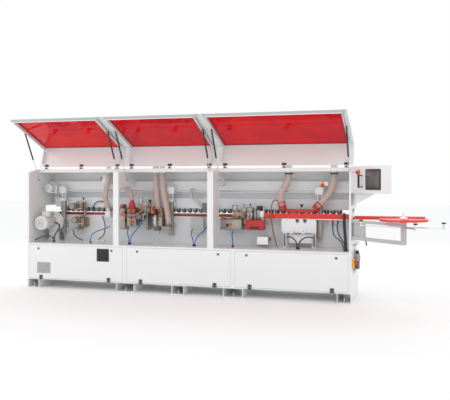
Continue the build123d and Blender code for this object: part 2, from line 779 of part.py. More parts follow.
def stand_centre():
    """The coil tray's axis, (x, y)."""
    angle = math.radians(STAND_ANGLE)
    return STAND_FOOT[0] + STAND_REACH * math.cos(angle), STAND_FOOT[1] + STAND_REACH * math.sin(angle)


def coil_stand():
    """Frame of square tube that carries the coil tray, bolted to the end wall."""
    behind = block(1700, RIGHT + 8, -700, 100, 500, 1000)
    reach = STAND_REACH
    hub_x, hub_y = stand_centre()
    return [
        block(RIGHT, RIGHT + 8, -372, -270, 660, 885),
        stand_block(-30, reach + 20, -20, 20, 677, 713) - behind,
        stand_block(-30, reach - 20, -20, 20, 855, 885) - behind,
        stand_block(-30, 150, -3, 3, 713, 855) - behind,
        stand_block(160, 200, -20, 20, 713, 855),
        stand_block(reach - 20, reach + 20, -20, 20, 713, 885),
        rod((hub_x, hub_y, 885), (hub_x, hub_y, TRAY_LOW - 0.5), 34),
    ]


def coil_tray():
    """Round tray that turns on the stand, with a domed hub and spindle."""
    x, y = stand_centre()
    dome = rod((x, y, TRAY_HIGH), (x, y, 940), 42) + Pos(x, y, 948) * Cone(42, 14, 16)
    return [
        rod((x, y, TRAY_LOW), (x, y, TRAY_HIGH), TRAY_R),
        dome + rod((x, y, 950), (x, y, 1006), 6),
    ]


def coil_arms():
    """Arms that reach out from under the tray, each with a stop pin and a star knob."""
    x, y = stand_centre()
    parts = []
    for angle, reach in COIL_ARMS:
        turn = math.radians(angle)
        start = (x + 30 * math.cos(turn), y + 30 * math.sin(turn), 845)
        end = (x + reach * math.cos(turn), y + reach * math.sin(turn), 845)
        arm = rod(start, end, 6) + rod((end[0], end[1], 833), (end[0], end[1], 886), 9)
        knob = rod((end[0], end[1], 886), (end[0], end[1], 902), 22)
        parts += [arm, knob]
    return parts


# ---- controls and supplies ----
def panel_place(x, y, z):
    """A point in the control box's own frame: along its face, behind it, and up."""
    return Pos(PANEL_FOOT[0], PANEL_FOOT[1], 0) * Rot(0, 0, PANEL_ANGLE) * Pos(x, y, z)


def panel_block(x0, x1, y0, y1, z0, z1):
    """A box in the control box's own frame, where y below 0 is in front of the face."""
    return panel_place((x0 + x1) / 2, (y0 + y1) / 2, (z0 + z1) / 2) * Box(x1 - x0, y1 - y0, z1 - z0)


def panel_rod(x, z, y0, y1, radius):
    """A round piece that stands out from the control box's face."""
    bar = Rot(-90, 0, 0) * Cylinder(radius, y1 - y0)
    return panel_place(x, (y0 + y1) / 2, z) * bar


def mitre(corners, number, wall):
    """The inner corner of a sheet-metal box, where two walls of one thickness meet."""
    here = corners[number]
    arriving = (here - corners[number - 1]).normalized()
    leaving = (corners[(number + 1) % len(corners)] - here).normalized()
    return here + (leaving - arriving) * (wall / abs(arriving.cross(leaving).Z))


def control_box():
    """Angled box on the end wall, the bracket under it, its D handle and the stop button's plate."""
    turn = math.radians(PANEL_ANGLE)
    along = Vector(math.cos(turn), math.sin(turn))
    behind = Vector(-math.sin(turn), math.cos(turn))
    foot = Vector(*PANEL_FOOT)
    far = foot + along * PANEL_WIDTH
    corner = far + behind * 110
    outline = [(foot.X, foot.Y), (far.X, far.Y), (corner.X, corner.Y), (RIGHT, -200)]
    bracket = Polyline((4, PANEL_LOW), (430, PANEL_LOW), (4, PANEL_LOW - 140), close=True)
    web = Pos(RIGHT, -290, 0) * Rot(0, 0, PANEL_ANGLE) * extrude(Plane.XZ * make_face(bracket), amount=5)
    web -= block(1700, RIGHT, -700, 100, 900, 1300)
    grip = panel_block(196, 214, -52, -38, 1225, 1358)
    legs = panel_block(196, 214, -38, 0, 1225, 1240) + panel_block(196, 214, -38, 0, 1343, 1358)
    corners = [Vector(*point) for point in outline]
    inner = [mitre(corners, number, 3) for number in range(4)]
    walls = []
    for number in range(4):
        nearby = (number + 1) % 4
        wall = [corners[number], corners[nearby], inner[nearby], inner[number]]
        walls.append(plate_xy([(point.X, point.Y) for point in wall], PANEL_LOW + 3, PANEL_HIGH - 3))
    return walls + [
        plate_xy(outline, PANEL_LOW, PANEL_LOW + 3),
        plate_xy(outline, PANEL_HIGH - 3, PANEL_HIGH),
        web,
        grip + legs,
        panel_rod(146, 1382, -6, 0, 30),
    ]


def touch_screen():
    """Screen unit that stands proud of the control box's face."""
    return panel_block(268, 522, -8, 0, 1203, 1412)


def estop_button():
    """Mushroom head on its stem, above its round plate."""
    return panel_rod(146, 1382, -38, -24, 20) + panel_rod(146, 1382, -25, -12.5, 12)


def main_switch():
    """Rotary handle of the main switch."""
    knob = rod((RIGHT + 20.5, -232, 420), (RIGHT + 28, -232, 420), 24)
    return knob + block(RIGHT + 28, RIGHT + 44, -238, -226, 396, 444)


def end_fittings():
    """Switch plate, air filter, regulator and inlet on the right end, and the pull ring on the left end."""
    ring = Pos(LEFT - 62, -300, 598) * Rot(90, 0, 0) * Torus(20, 4.5)
    ring += rod((LEFT - 40, -300, 598), (LEFT, -300, 598), 5)
    return [
        ring,
        block(RIGHT, RIGHT + 20, -282, -182, 357, 458),
        block(RIGHT, RIGHT + 12, -110, 20, 300, 520),
        block(RIGHT + 12, RIGHT + 62, -100, -50, 420, 500),
        rod((RIGHT + 37, -75, 330), (RIGHT + 37, -75, 420), 24),
        rod((RIGHT + 37, -75, 500), (RIGHT + 37, -75, 535), 19),
        block(RIGHT + 12, RIGHT + 62, -50, 10, 425, 475),
        rod((RIGHT + 37, -20, 370), (RIGHT + 37, -20, 425), 20),
        rod((RIGHT + 37, -20, 475), (RIGHT + 37, -20, 500), 16),
        rod((RIGHT + 37, 10, 450), (RIGHT + 37, 40, 450), 10, 5),
        rod((RIGHT, -130, 310), (RIGHT + 14, -130, 310), 22),
    ]


# ---- hoses and cables ----
BLACK_CABLES = (
    (8, [(-1690, -200, 565), (-1690, -202, 610), (-1664, -196, 655), (-1638, -175, 695), (-1645, -140, 735),
         (-1675, -130, 765), (-1722, -130, 780)]),
    (6, [(-1525, -20, 684), (-1524, -20, 648), (-1506, -24, 612), (-1464, -36, 586), (-1412, -60, 572),
         (-1360, -88, 560)]),
    (6, [(-1180, 100, 850), (-1172, 82, 834), (-1130, 40, 800), (-1098, 2, 755), (-1085, -24, 700),
         (-1084, -42, 645), (-1104, -66, 605), (-1140, -95, 578)]),
    (7, [(1343, -200, 565), (1343, -203, 600), (1322, -190, 638), (1280, -160, 664), (1236, -118, 672),
         (1205, -80, 660)]),
    (7, [(1360, -200, 565), (1362, -203, 602), (1386, -190, 642), (1428, -160, 668), (1470, -118, 674),
         (1500, -80, 660)]),
    (16, [(1880, -250, 565), (1880, -252, 640), (1872, -240, 715), (1862, -212, 790), (1856, -176, 862),
          (1854, -150, 940)]),
)
BLUE_CABLES = (
    (6, [(-1189, -200, 565), (-1189, -203, 600), (-1176, -196, 642), (-1136, -170, 676), (-1080, -132, 700),
         (-1026, -100, 716), (-985, -90, 742)]),
    (6, [(-670, -220, 565), (-670, -222, 600), (-684, -214, 640), (-712, -180, 676), (-724, -140, 706),
         (-722, -108, 732)]),
    (6, [(-655, -220, 565), (-653, -223, 605), (-632, -214, 655), (-588, -190, 712), (-548, -165, 768),
         (-530, -130, 815)]),
    (6, [(134, -200, 565), (132, -203, 600), (112, -190, 645), (84, -150, 682), (72, -100, 706), (74, -52, 728)]),
    (6, [(150, -200, 565), (153, -203, 600), (176, -192, 645), (214, -165, 690), (258, -130, 738),
         (290, -90, 790)]),
    (7, [(600, -180, 565), (600, -182, 602), (594, -176, 645), (582, -150, 682), (572, -112, 700), (570, -70, 712)]),
)


def hoses():
    """Extraction hoses from the roof spigots to the dust hoods."""
    return [tube(route, radius) for radius, route in HOSES]


def cables():
    """Cables from the floor glands to the units, with a gland at each floor exit."""
    parts = []
    for radius, route in BLACK_CABLES + BLUE_CABLES:
        parts.append(tube(route, radius))
        x, y, z = route[0]
        if z == 565:
            parts.append(rod((x, y, BASE_TOP), (x, y, z), radius + 6 if radius < 10 else radius + 8))
    return parts


save("floor_beams", floor_beams())
save("levelling_bolts", levelling_bolts())
save("base_cabinet", base_cabinet())
save("end_walls", end_walls())
save("upper_casing", upper_casing())
save("upper_frame", upper_frame())
save("bed_beam", bed_beam())
save("hinge_leaves", hinge_leaves())
for number in range(3):
    save(f"door_{number + 1}", door(*DOOR_SPANS[number], CLIP_X[number]))
    save(f"hood_{number + 1}", hood(number))
    save(f"window_{number + 1}", window(number))
    save(f"strut_rods_{number + 1}", strut_rods(number))
    save(f"strut_cylinders_{number + 1}", strut_cylinders(number))
save("pressure_beam", pressure_beam())
save("press_wheels", press_wheels())
save("lift_jacks", lift_jacks())
save("lift_shaft", lift_shaft())
save("feed_motor", feed_motor())
save("feed_chain", feed_chain())
save("drive_sprocket", sprocket(-SPROCKET_X, 16.5, 231.5))
save("idler_sprocket", sprocket(SPROCKET_X, 118.5, 231.5))
save("buffing_unit", buffing_unit())
save("buff_wheel_top", buff_wheel(-1524, 977, 60))
save("buff_wheel_bottom", buff_wheel(-1489, 806, 60))
save("trim_unit", trim_unit())
save("trim_cutter_top", cutter(-463, 946, 28))
save("trim_cutter_bottom", cutter(-572, 868, 28))
save("scraping_unit", scraping_unit())
save("end_trim_rails", end_trim_rails())
save("end_trim_carriage", end_trim_carriage())
save("end_trim_blade", end_trim_blade())
save("glue_pot", glue_pot())
save("glue_roller", glue_roller())
save("roller_unit", roller_unit())
save("press_roller", press_roller())
save("premill_unit", premill_unit())
save("premill_cutter_1", premill_cutter(1265))
save("premill_cutter_2", premill_cutter(1405))
save("premill_hood", premill_hood())
save("infeed_fence", infeed_fence())
save("coil_stand", coil_stand())
save("coil_tray", coil_tray())
save("coil_arms", coil_arms())
save("control_box", control_box())
save("touch_screen", touch_screen())
save("estop_button", estop_button())
save("main_switch", main_switch())
save("end_fittings", end_fittings())
save("dust_hoses", hoses())
save("cables", cables())
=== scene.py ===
# %% [markdown]
# # An edge banding machine
#
# This lesson dresses a working model of an edge bander: a long machine that glues a strip of edging to
# furniture boards and then trims, scrapes and buffs it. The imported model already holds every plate,
# shaft and hinge in its true place, so the lesson is about looks: paint, castings, rubber and tinted
# acrylic, and the small parts that make a machine believable. Everything is in metres, in the packed
# model's frame: X along the machine, Y towards its back, Z up.

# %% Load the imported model
import math
import bmesh
import bpy
from mathutils import Matrix, Vector


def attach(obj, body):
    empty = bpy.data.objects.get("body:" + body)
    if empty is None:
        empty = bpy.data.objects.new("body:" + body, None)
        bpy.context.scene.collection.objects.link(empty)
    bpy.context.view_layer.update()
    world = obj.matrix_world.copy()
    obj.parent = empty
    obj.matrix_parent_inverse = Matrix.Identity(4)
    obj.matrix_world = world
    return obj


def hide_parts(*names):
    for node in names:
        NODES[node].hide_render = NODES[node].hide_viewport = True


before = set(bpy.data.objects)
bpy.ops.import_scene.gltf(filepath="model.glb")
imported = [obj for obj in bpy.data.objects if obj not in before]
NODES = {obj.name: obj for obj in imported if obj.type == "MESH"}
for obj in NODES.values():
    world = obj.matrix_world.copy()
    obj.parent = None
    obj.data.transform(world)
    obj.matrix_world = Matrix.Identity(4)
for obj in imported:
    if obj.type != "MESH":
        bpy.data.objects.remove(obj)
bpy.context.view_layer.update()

# %% [markdown]
# ## The camera and the studio
#
# A machine this long is best seen from a few metres to the right. The camera is level and its lens is
# shifted down a little, which keeps upright edges upright. A pale floor and a bright sky give the soft
# shadows of a studio, and three large lamps add the gleam along folded edges. The Standard view keeps
# white paint white.

# %% Camera, lamps and floor
EYE = Vector((2.718, -7.454, 1.295))
YAW = math.radians(16.9)


def add_camera():
    """A level camera with a small downward shift."""
    lens = bpy.data.cameras.new("camera")
    lens.lens = 53.3
    lens.sensor_width = 36
    lens.shift_y = -0.0427
    lens.clip_end = 100
    holder = bpy.data.objects.new("camera", lens)
    holder.location = EYE
    holder.rotation_euler = (math.radians(90), 0, YAW)
    bpy.context.collection.objects.link(holder)
    bpy.context.scene.camera = holder


def add_lamp(name, place, target, size, power):
    """A large square lamp that faces a target."""
    light = bpy.data.lights.new(name, "AREA")
    light.size = size
    light.energy = power
    holder = bpy.data.objects.new(name, light)
    holder.location = place
    holder.rotation_euler = (Vector(target) - Vector(place)).to_track_quat("-Z", "Y").to_euler()
    bpy.context.collection.objects.link(holder)


add_camera()
add_lamp("lamp_front", (1.5, -6.0, 4.6), (0, 0, 0.8), 4.0, 45)
add_lamp("lamp_left", (-5.5, -3.5, 3.6), (-0.5, 0, 0.9), 3.0, 30)
add_lamp("lamp_back", (0.5, 5.5, 4.2), (0, 0, 1.0), 3.5, 40)
bpy.context.scene.view_settings.view_transform = "Standard"
sky = bpy.data.worlds.new("studio")
sky.use_nodes = True
sky.node_tree.nodes["Background"].inputs["Color"].default_value = (1, 1, 1, 1)
sky.node_tree.nodes["Background"].inputs["Strength"].default_value = 1.0
bpy.context.scene.world = sky
print("camera", [round(v, 2) for v in EYE])

# %% [markdown]
# ## Sums on shader sockets
#
# A finish is a small sum: noise, scaled and added to a colour or a roughness. Written node by node it
# is hard to read, so one class wraps a socket and lets Python's own operators add the Math nodes. A
# second class holds one material and has a single method that makes any other node.

# %% Socket and Finish
class Socket:
    """A shader output that takes part in sums of single numbers."""

    def __init__(self, finish, output):
        self.finish = finish
        self.output = output

    def sum_node(self, operation, first, second=None):
        """One Math node on sockets or plain numbers."""
        values = {0: first}
        if second is not None:
            values[1] = second
        made = self.finish.node("ShaderNodeMath", {"operation": operation}, values)
        return Socket(self.finish, made.outputs[0])

    def __add__(self, other):
        return self.sum_node("ADD", self, other)

    __radd__ = __add__

    def __sub__(self, other):
        return self.sum_node("SUBTRACT", self, other)

    def __rsub__(self, other):
        return self.sum_node("SUBTRACT", other, self)

    def __mul__(self, other):
        return self.sum_node("MULTIPLY", self, other)

    __rmul__ = __mul__

    def clamped(self):
        """The value, held between 0 and 1."""
        return self.sum_node("MINIMUM", self.sum_node("MAXIMUM", self, 0.0), 1.0)


class Finish:
    """One material: its surface shader and the nodes that vary it."""

    def __init__(self, name, **constants):
        self.material = bpy.data.materials.new(name)
        self.material.use_nodes = True
        self.tree = self.material.node_tree
        self.surface = self.tree.nodes["Principled BSDF"]
        for key, value in constants.items():
            self.surface.inputs[key.replace("_", " ")].default_value = value

    def node(self, kind, settings=None, values=None):
        """Any node: its settings first, then values or links for its sockets."""
        made = self.tree.nodes.new(kind)
        for key, value in (settings or {}).items():
            if key == "stops":
                ramp = made.color_ramp.elements
                while len(ramp) < len(value):
                    ramp.new(0.5)
                for stop, (at, colour) in zip(ramp, value):
                    stop.position = at
                    stop.color = colour
            else:
                setattr(made, key, value)
        for key, value in (values or {}).items():
            socket = made.inputs[key]
            if isinstance(value, Socket):
                value = value.output
            if isinstance(value, bpy.types.NodeSocket):
                self.tree.links.new(value, socket)
            else:
                socket.default_value = value
        return made

    def place(self, stretch=(1, 1, 1)):
        """Object coordinates, stretched."""
        spot = self.node("ShaderNodeTexCoord").outputs["Object"]
        return self.node("ShaderNodeMapping", None, {"Vector": spot, "Scale": stretch}).outputs[0]

    def axes(self):
        """The x, y and z of Object coordinates, each as a Socket."""
        spot = self.node("ShaderNodeTexCoord").outputs["Object"]
        split = self.node("ShaderNodeSeparateXYZ", None, {0: spot})
        return [Socket(self, output) for output in split.outputs]

    def noise(self, scale, detail=3.0, stretch=(1, 1, 1), roughness=0.5):
        """Noise from 0 to 1; a larger scale gives a finer grain."""
        values = {"Vector": self.place(stretch), "Scale": scale, "Detail": detail, "Roughness": roughness}
        return Socket(self, self.node("ShaderNodeTexNoise", None, values).outputs[0])

    def mix(self, amount, first, second):
        """A colour between two colours."""
        values = {0: amount, 6: first, 7: second}
        return self.node("ShaderNodeMix", {"data_type": "RGBA"}, values).outputs[2]

    def feed(self, socket_name, value):
        """Link a value to one socket of the surface shader."""
        if isinstance(value, Socket):
            value = value.output
        self.tree.links.new(value, self.surface.inputs[socket_name])

    def bump(self, height, strength, distance):
        """Turn a height into small dents in the surface's shading."""
        values = {"Height": height, "Strength": strength, "Distance": distance}
        self.feed("Normal", self.node("ShaderNodeBump", None, values).outputs[0])


FINISHES = {}


def keep(name, finish):
    """Store a finish by its plain name and return its material."""
    FINISHES[name] = finish.material
    return finish.material


print("shader helpers ready")

# %% [markdown]
# ## Sheet-metal paint
#
# Nearly the whole machine is folded steel sheet with a white powder coat. Real powder coat is never a
# flat white: it has a fine orange peel, a slightly warmer tone where it is thick, and a soft grey film
# of dust low down. Noise at three scales gives those, and they change colour, roughness and bump.

# %% Painted sheet
def painted(name, colour, roughness=0.38, dust=0.035, peel=0.12, metallic=0.0):
    """Powder coat: orange peel, thick and thin patches, and a little dust near the floor."""
    finish = Finish(name, Metallic=metallic, Coat_Weight=0.18, Coat_Roughness=0.2)
    patches = finish.noise(2.3, 4.0)
    fine = finish.noise(420.0, 2.0)
    height = finish.axes()[2]
    low = (1.0 - height * 1.6).clamped()
    film = (low * 0.5 + 0.25) * patches * (dust * 4.0)
    darker = [c * 0.8 for c in colour] + [1]
    warm = [colour[0] * 0.97, colour[1] * 0.968, colour[2] * 0.962, 1]
    base = finish.mix(patches * 0.6, [*colour, 1], warm)
    finish.feed("Base Color", finish.mix(film.clamped(), base, darker))
    finish.feed("Roughness", patches * 0.12 + fine * 0.05 + (roughness - 0.08))
    finish.bump(fine, peel, 0.0006)
    return keep(name, finish)


painted("white paint", (0.82, 0.83, 0.84))
# The coil stand's paint is white; this grey darkens it as painted shade.
painted("stand grey with painted shade", (0.5, 0.52, 0.53), roughness=0.42)
# A darker, cooler copy of the white paint for the parts inside the machine: painted shade.
painted("inner white paint", (0.72, 0.74, 0.76), dust=0.05)
# Grey for thin strips on the hoods: painted shade on the lip and the flanges.
painted("shaded lip", (0.42, 0.43, 0.44), roughness=0.42)
# Near black for thin strips in the door gaps: painted shadow.
painted("seam shadow", (0.2, 0.2, 0.21), roughness=0.6)
painted("guard red", (0.34, 0.03, 0.015), roughness=0.4, dust=0.04)
painted("grey-green paint", (0.45, 0.46, 0.43), roughness=0.5)
painted("motor white", (0.8, 0.8, 0.79), roughness=0.42, peel=0.25)
painted("red paint", (0.5, 0.012, 0.012), roughness=0.32, dust=0.03)
painted("fence red", (0.76, 0.03, 0.012), roughness=0.34, dust=0.02, peel=0.05)
painted("black paint", (0.018, 0.018, 0.02), roughness=0.45, dust=0.02)
painted("signal yellow", (0.85, 0.47, 0.01), roughness=0.4, dust=0.02)
print(len(FINISHES), "paints")

# %% [markdown]
# ## Metal, plastic, rubber and cloth
#
# Bare metal shows how it was made: ground bars carry fine scratches along their length, castings are
# grainy, and plated parts are smooth with a faint haze. Rubber and moulded plastic are darker and
# rougher, with a matt grain. Each finish below changes at least its roughness and its bump.

# %% Other finishes
def metal(name, colour, roughness, grain=(1, 1, 1), scale=60.0, depth=0.1, wear=0.25):
    """Bare metal with a grain that may be drawn out along one axis."""
    finish = Finish(name, Metallic=1.0)
    lines = finish.noise(scale, 5.0, grain)
    clouds = finish.noise(9.0, 3.0)
    tarnish = [c * 0.62 for c in colour] + [1]
    finish.feed("Base Color", finish.mix((clouds * wear * 2.0).clamped(), [*colour, 1], tarnish))
    finish.feed("Roughness", lines * 0.22 + clouds * 0.1 + (roughness - 0.12))
    finish.bump(lines, depth, 0.0005)
    return keep(name, finish)


def moulded(name, colour, roughness=0.5, grain=700.0, depth=0.2, coat=0.0, scale=12.0, spread=0.35):
    """Plastic or rubber with a fine grain and slightly uneven colour."""
    finish = Finish(name, Coat_Weight=coat, Coat_Roughness=0.12)
    fine = finish.noise(grain, 2.0)
    clouds = finish.noise(scale, 3.0)
    pale = [min(1.0, c * 1.25 + 0.015) for c in colour] + [1]
    finish.feed("Base Color", finish.mix(clouds * spread, [*colour, 1], pale))
    finish.feed("Roughness", clouds * 0.14 + fine * 0.06 + (roughness - 0.1))
    finish.bump(fine, depth, 0.0004)
    return keep(name, finish)


metal("brushed steel", (0.62, 0.62, 0.61), 0.34, (1, 1, 14))
metal("ground bar", (0.7, 0.7, 0.69), 0.28, (14, 1, 1))
metal("chrome", (0.8, 0.8, 0.8), 0.16, depth=0.02, wear=0.08)
metal("cast aluminium", (0.47, 0.44, 0.4), 0.48, scale=260.0, depth=0.5)
metal("bronze casting", (0.36, 0.26, 0.18), 0.48, scale=240.0, depth=0.5)
metal("dark steel", (0.2, 0.19, 0.18), 0.42, scale=120.0, depth=0.25)
moulded("black plastic", (0.02, 0.02, 0.021), 0.45)
moulded("black rubber", (0.026, 0.026, 0.027), 0.68, 300.0, 0.4)
moulded("grey plastic", (0.3, 0.3, 0.31), 0.5)
moulded("orange plastic", (0.86, 0.13, 0.015), 0.38, coat=0.2)
moulded("red plastic", (0.7, 0.012, 0.012), 0.25, coat=0.5)
moulded("white plastic", (0.85, 0.85, 0.84), 0.4)
moulded("blue cable", (0.02, 0.14, 0.5), 0.42)
moulded("black cable", (0.018, 0.018, 0.02), 0.45)
moulded("screen glass", (0.1, 0.09, 0.085), 0.2, coat=0.4, depth=0.01)
moulded("screen frame", (0.045, 0.04, 0.038), 0.45)
moulded("brown pipe", (0.24, 0.12, 0.07), 0.4)
moulded("cotton", (0.72, 0.68, 0.58), 0.9, 260.0, 0.9, scale=40.0)
print(len(FINISHES), "finishes")


# %% [markdown]
# ## Tinted acrylic and clear hose
#
# The hood windows are cast acrylic, tinted red and glossy enough to mirror the machine below. Most of
# the light behind them comes through, so the sheet is partly transmissive, with faint waves from
# casting in its bump. The extraction hoses are thin clear plastic that has yellowed to a pinkish tan.

# %% Window and hose finishes
def acrylic():
    """Red cast sheet: two reds that drift into each other, and a mirror-like surface."""
    finish = Finish("tinted acrylic", Transmission_Weight=0.06, IOR=1.4,
                    Specular_IOR_Level=0.22)
    waves = finish.noise(3.0, 2.0)
    smears = finish.noise(28.0, 4.0)
    tone = finish.mix((waves * 2.0 - 0.5).clamped(), (0.82, 0.005, 0.004, 1), (0.6, 0.001, 0.016, 1))
    finish.feed("Base Color", tone)
    finish.feed("Roughness", smears * 0.04 + 0.01)
    finish.bump(waves, 0.1, 0.001)
    return keep("tinted acrylic", finish)


def clear_hose():
    """Yellowed plastic, darker and denser on the ribs that the hose's mesh marks."""
    finish = Finish("clear hose", Coat_Weight=0.4, Coat_Roughness=0.15)
    clouds = finish.noise(14.0, 4.0)
    rib = Socket(finish, finish.node("ShaderNodeAttribute", {"attribute_name": "rib"}).outputs["Fac"])
    skin = finish.mix(clouds, (0.8, 0.66, 0.6, 1), (0.66, 0.52, 0.46, 1))
    finish.feed("Base Color", finish.mix((rib * 0.8).clamped(), skin, (0.36, 0.22, 0.18, 1)))
    finish.feed("Roughness", clouds * 0.2 + 0.22)
    finish.feed("Alpha", (rib * 0.25 + clouds * 0.15 + 0.68).clamped())
    finish.bump(clouds, 0.2, 0.001)
    return keep("clear hose", finish)


acrylic()
clear_hose()


def stage_floor():
    """A wide pale sheet under the machine."""
    mesh = bpy.data.meshes.new("floor")
    mesh.from_pydata([(-30, -30, 0), (30, -30, 0), (30, 30, 0), (-30, 30, 0)], [], [(0, 1, 2, 3)])
    floor = bpy.data.objects.new("floor", mesh)
    finish = Finish("studio floor", Roughness=0.9)
    finish.feed("Base Color", finish.mix(finish.noise(1.5), (0.96, 0.97, 0.97, 1), (0.94, 0.95, 0.95, 1)))
    mesh.materials.append(finish.material)
    bpy.context.collection.objects.link(floor)


stage_floor()
print("floor and clear finishes ready")

# %% [markdown]
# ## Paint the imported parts
#
# Most plates already have their true shape. They keep it, and only take a finish. The loop below goes
# from a finish to the list of parts that wear it.

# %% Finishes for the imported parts
WEARS = {
    "white paint": ["floor_beams", "base_cabinet", "end_walls", "upper_casing", "upper_frame", "door_1",
                    "door_2", "door_3", "hood_1", "hood_2", "hood_3", "premill_unit", "control_box"],
    "stand grey with painted shade": ["coil_stand"],
    "inner white paint": ["bed_beam", "pressure_beam"],
    "brushed steel": ["levelling_bolts", "drive_sprocket", "idler_sprocket", "trim_cutter_top",
                      "trim_cutter_bottom", "glue_roller", "press_roller", "premill_cutter_1",
                      "premill_cutter_2", "end_trim_blade"],
    "ground bar": ["lift_shaft"],
    "chrome": ["strut_rods_1", "strut_rods_2", "strut_rods_3"],
    "black paint": ["strut_cylinders_1", "strut_cylinders_2", "strut_cylinders_3", "hinge_leaves"],
    "tinted acrylic": ["window_1", "window_2", "window_3"],
    "dark steel": ["end_trim_carriage", "coil_arms"],
    "grey-green paint": ["end_trim_rails"],
    "cast aluminium": ["trim_unit", "scraping_unit", "roller_unit", "buffing_unit", "lift_jacks",
                       "end_fittings"],
    "motor white": ["feed_motor"],
    "red paint": ["glue_pot", "premill_hood"],
    "fence red": ["infeed_fence", "coil_tray"],
    "black rubber": ["press_wheels", "feed_chain"],
    "cotton": ["buff_wheel_top", "buff_wheel_bottom"],
    "clear hose": ["dust_hoses"],
    "black cable": ["cables"],
    "black plastic": ["touch_screen"],
    "red plastic": ["estop_button", "main_switch"],
}


def paint(node_name, finish_name):
    """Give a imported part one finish."""
    slots = NODES[node_name].material_slots
    for slot in slots:
        slot.link = "OBJECT"
        slot.material = FINISHES[finish_name]


for finish_name, names in WEARS.items():
    for node_name in names:
        paint(node_name, finish_name)
print(sum(len(names) for names in WEARS.values()), "parts painted")

# %% [markdown]
# ## A kit of shapes
#
# Machine parts come from a few shapes: blocks with broken edges, turned parts, flat plates cut to an
# outline, and rings. The class below collects such shapes in one mesh, in millimetres, and each shape
# takes the finish that is named last. When the piece is done it becomes one object at the origin that
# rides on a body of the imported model.

# %% Shape kit
MM = 0.001
UP = (0, 0, 1)
FORWARD = (0, -1, 0)
BACK = (0, 1, 0)


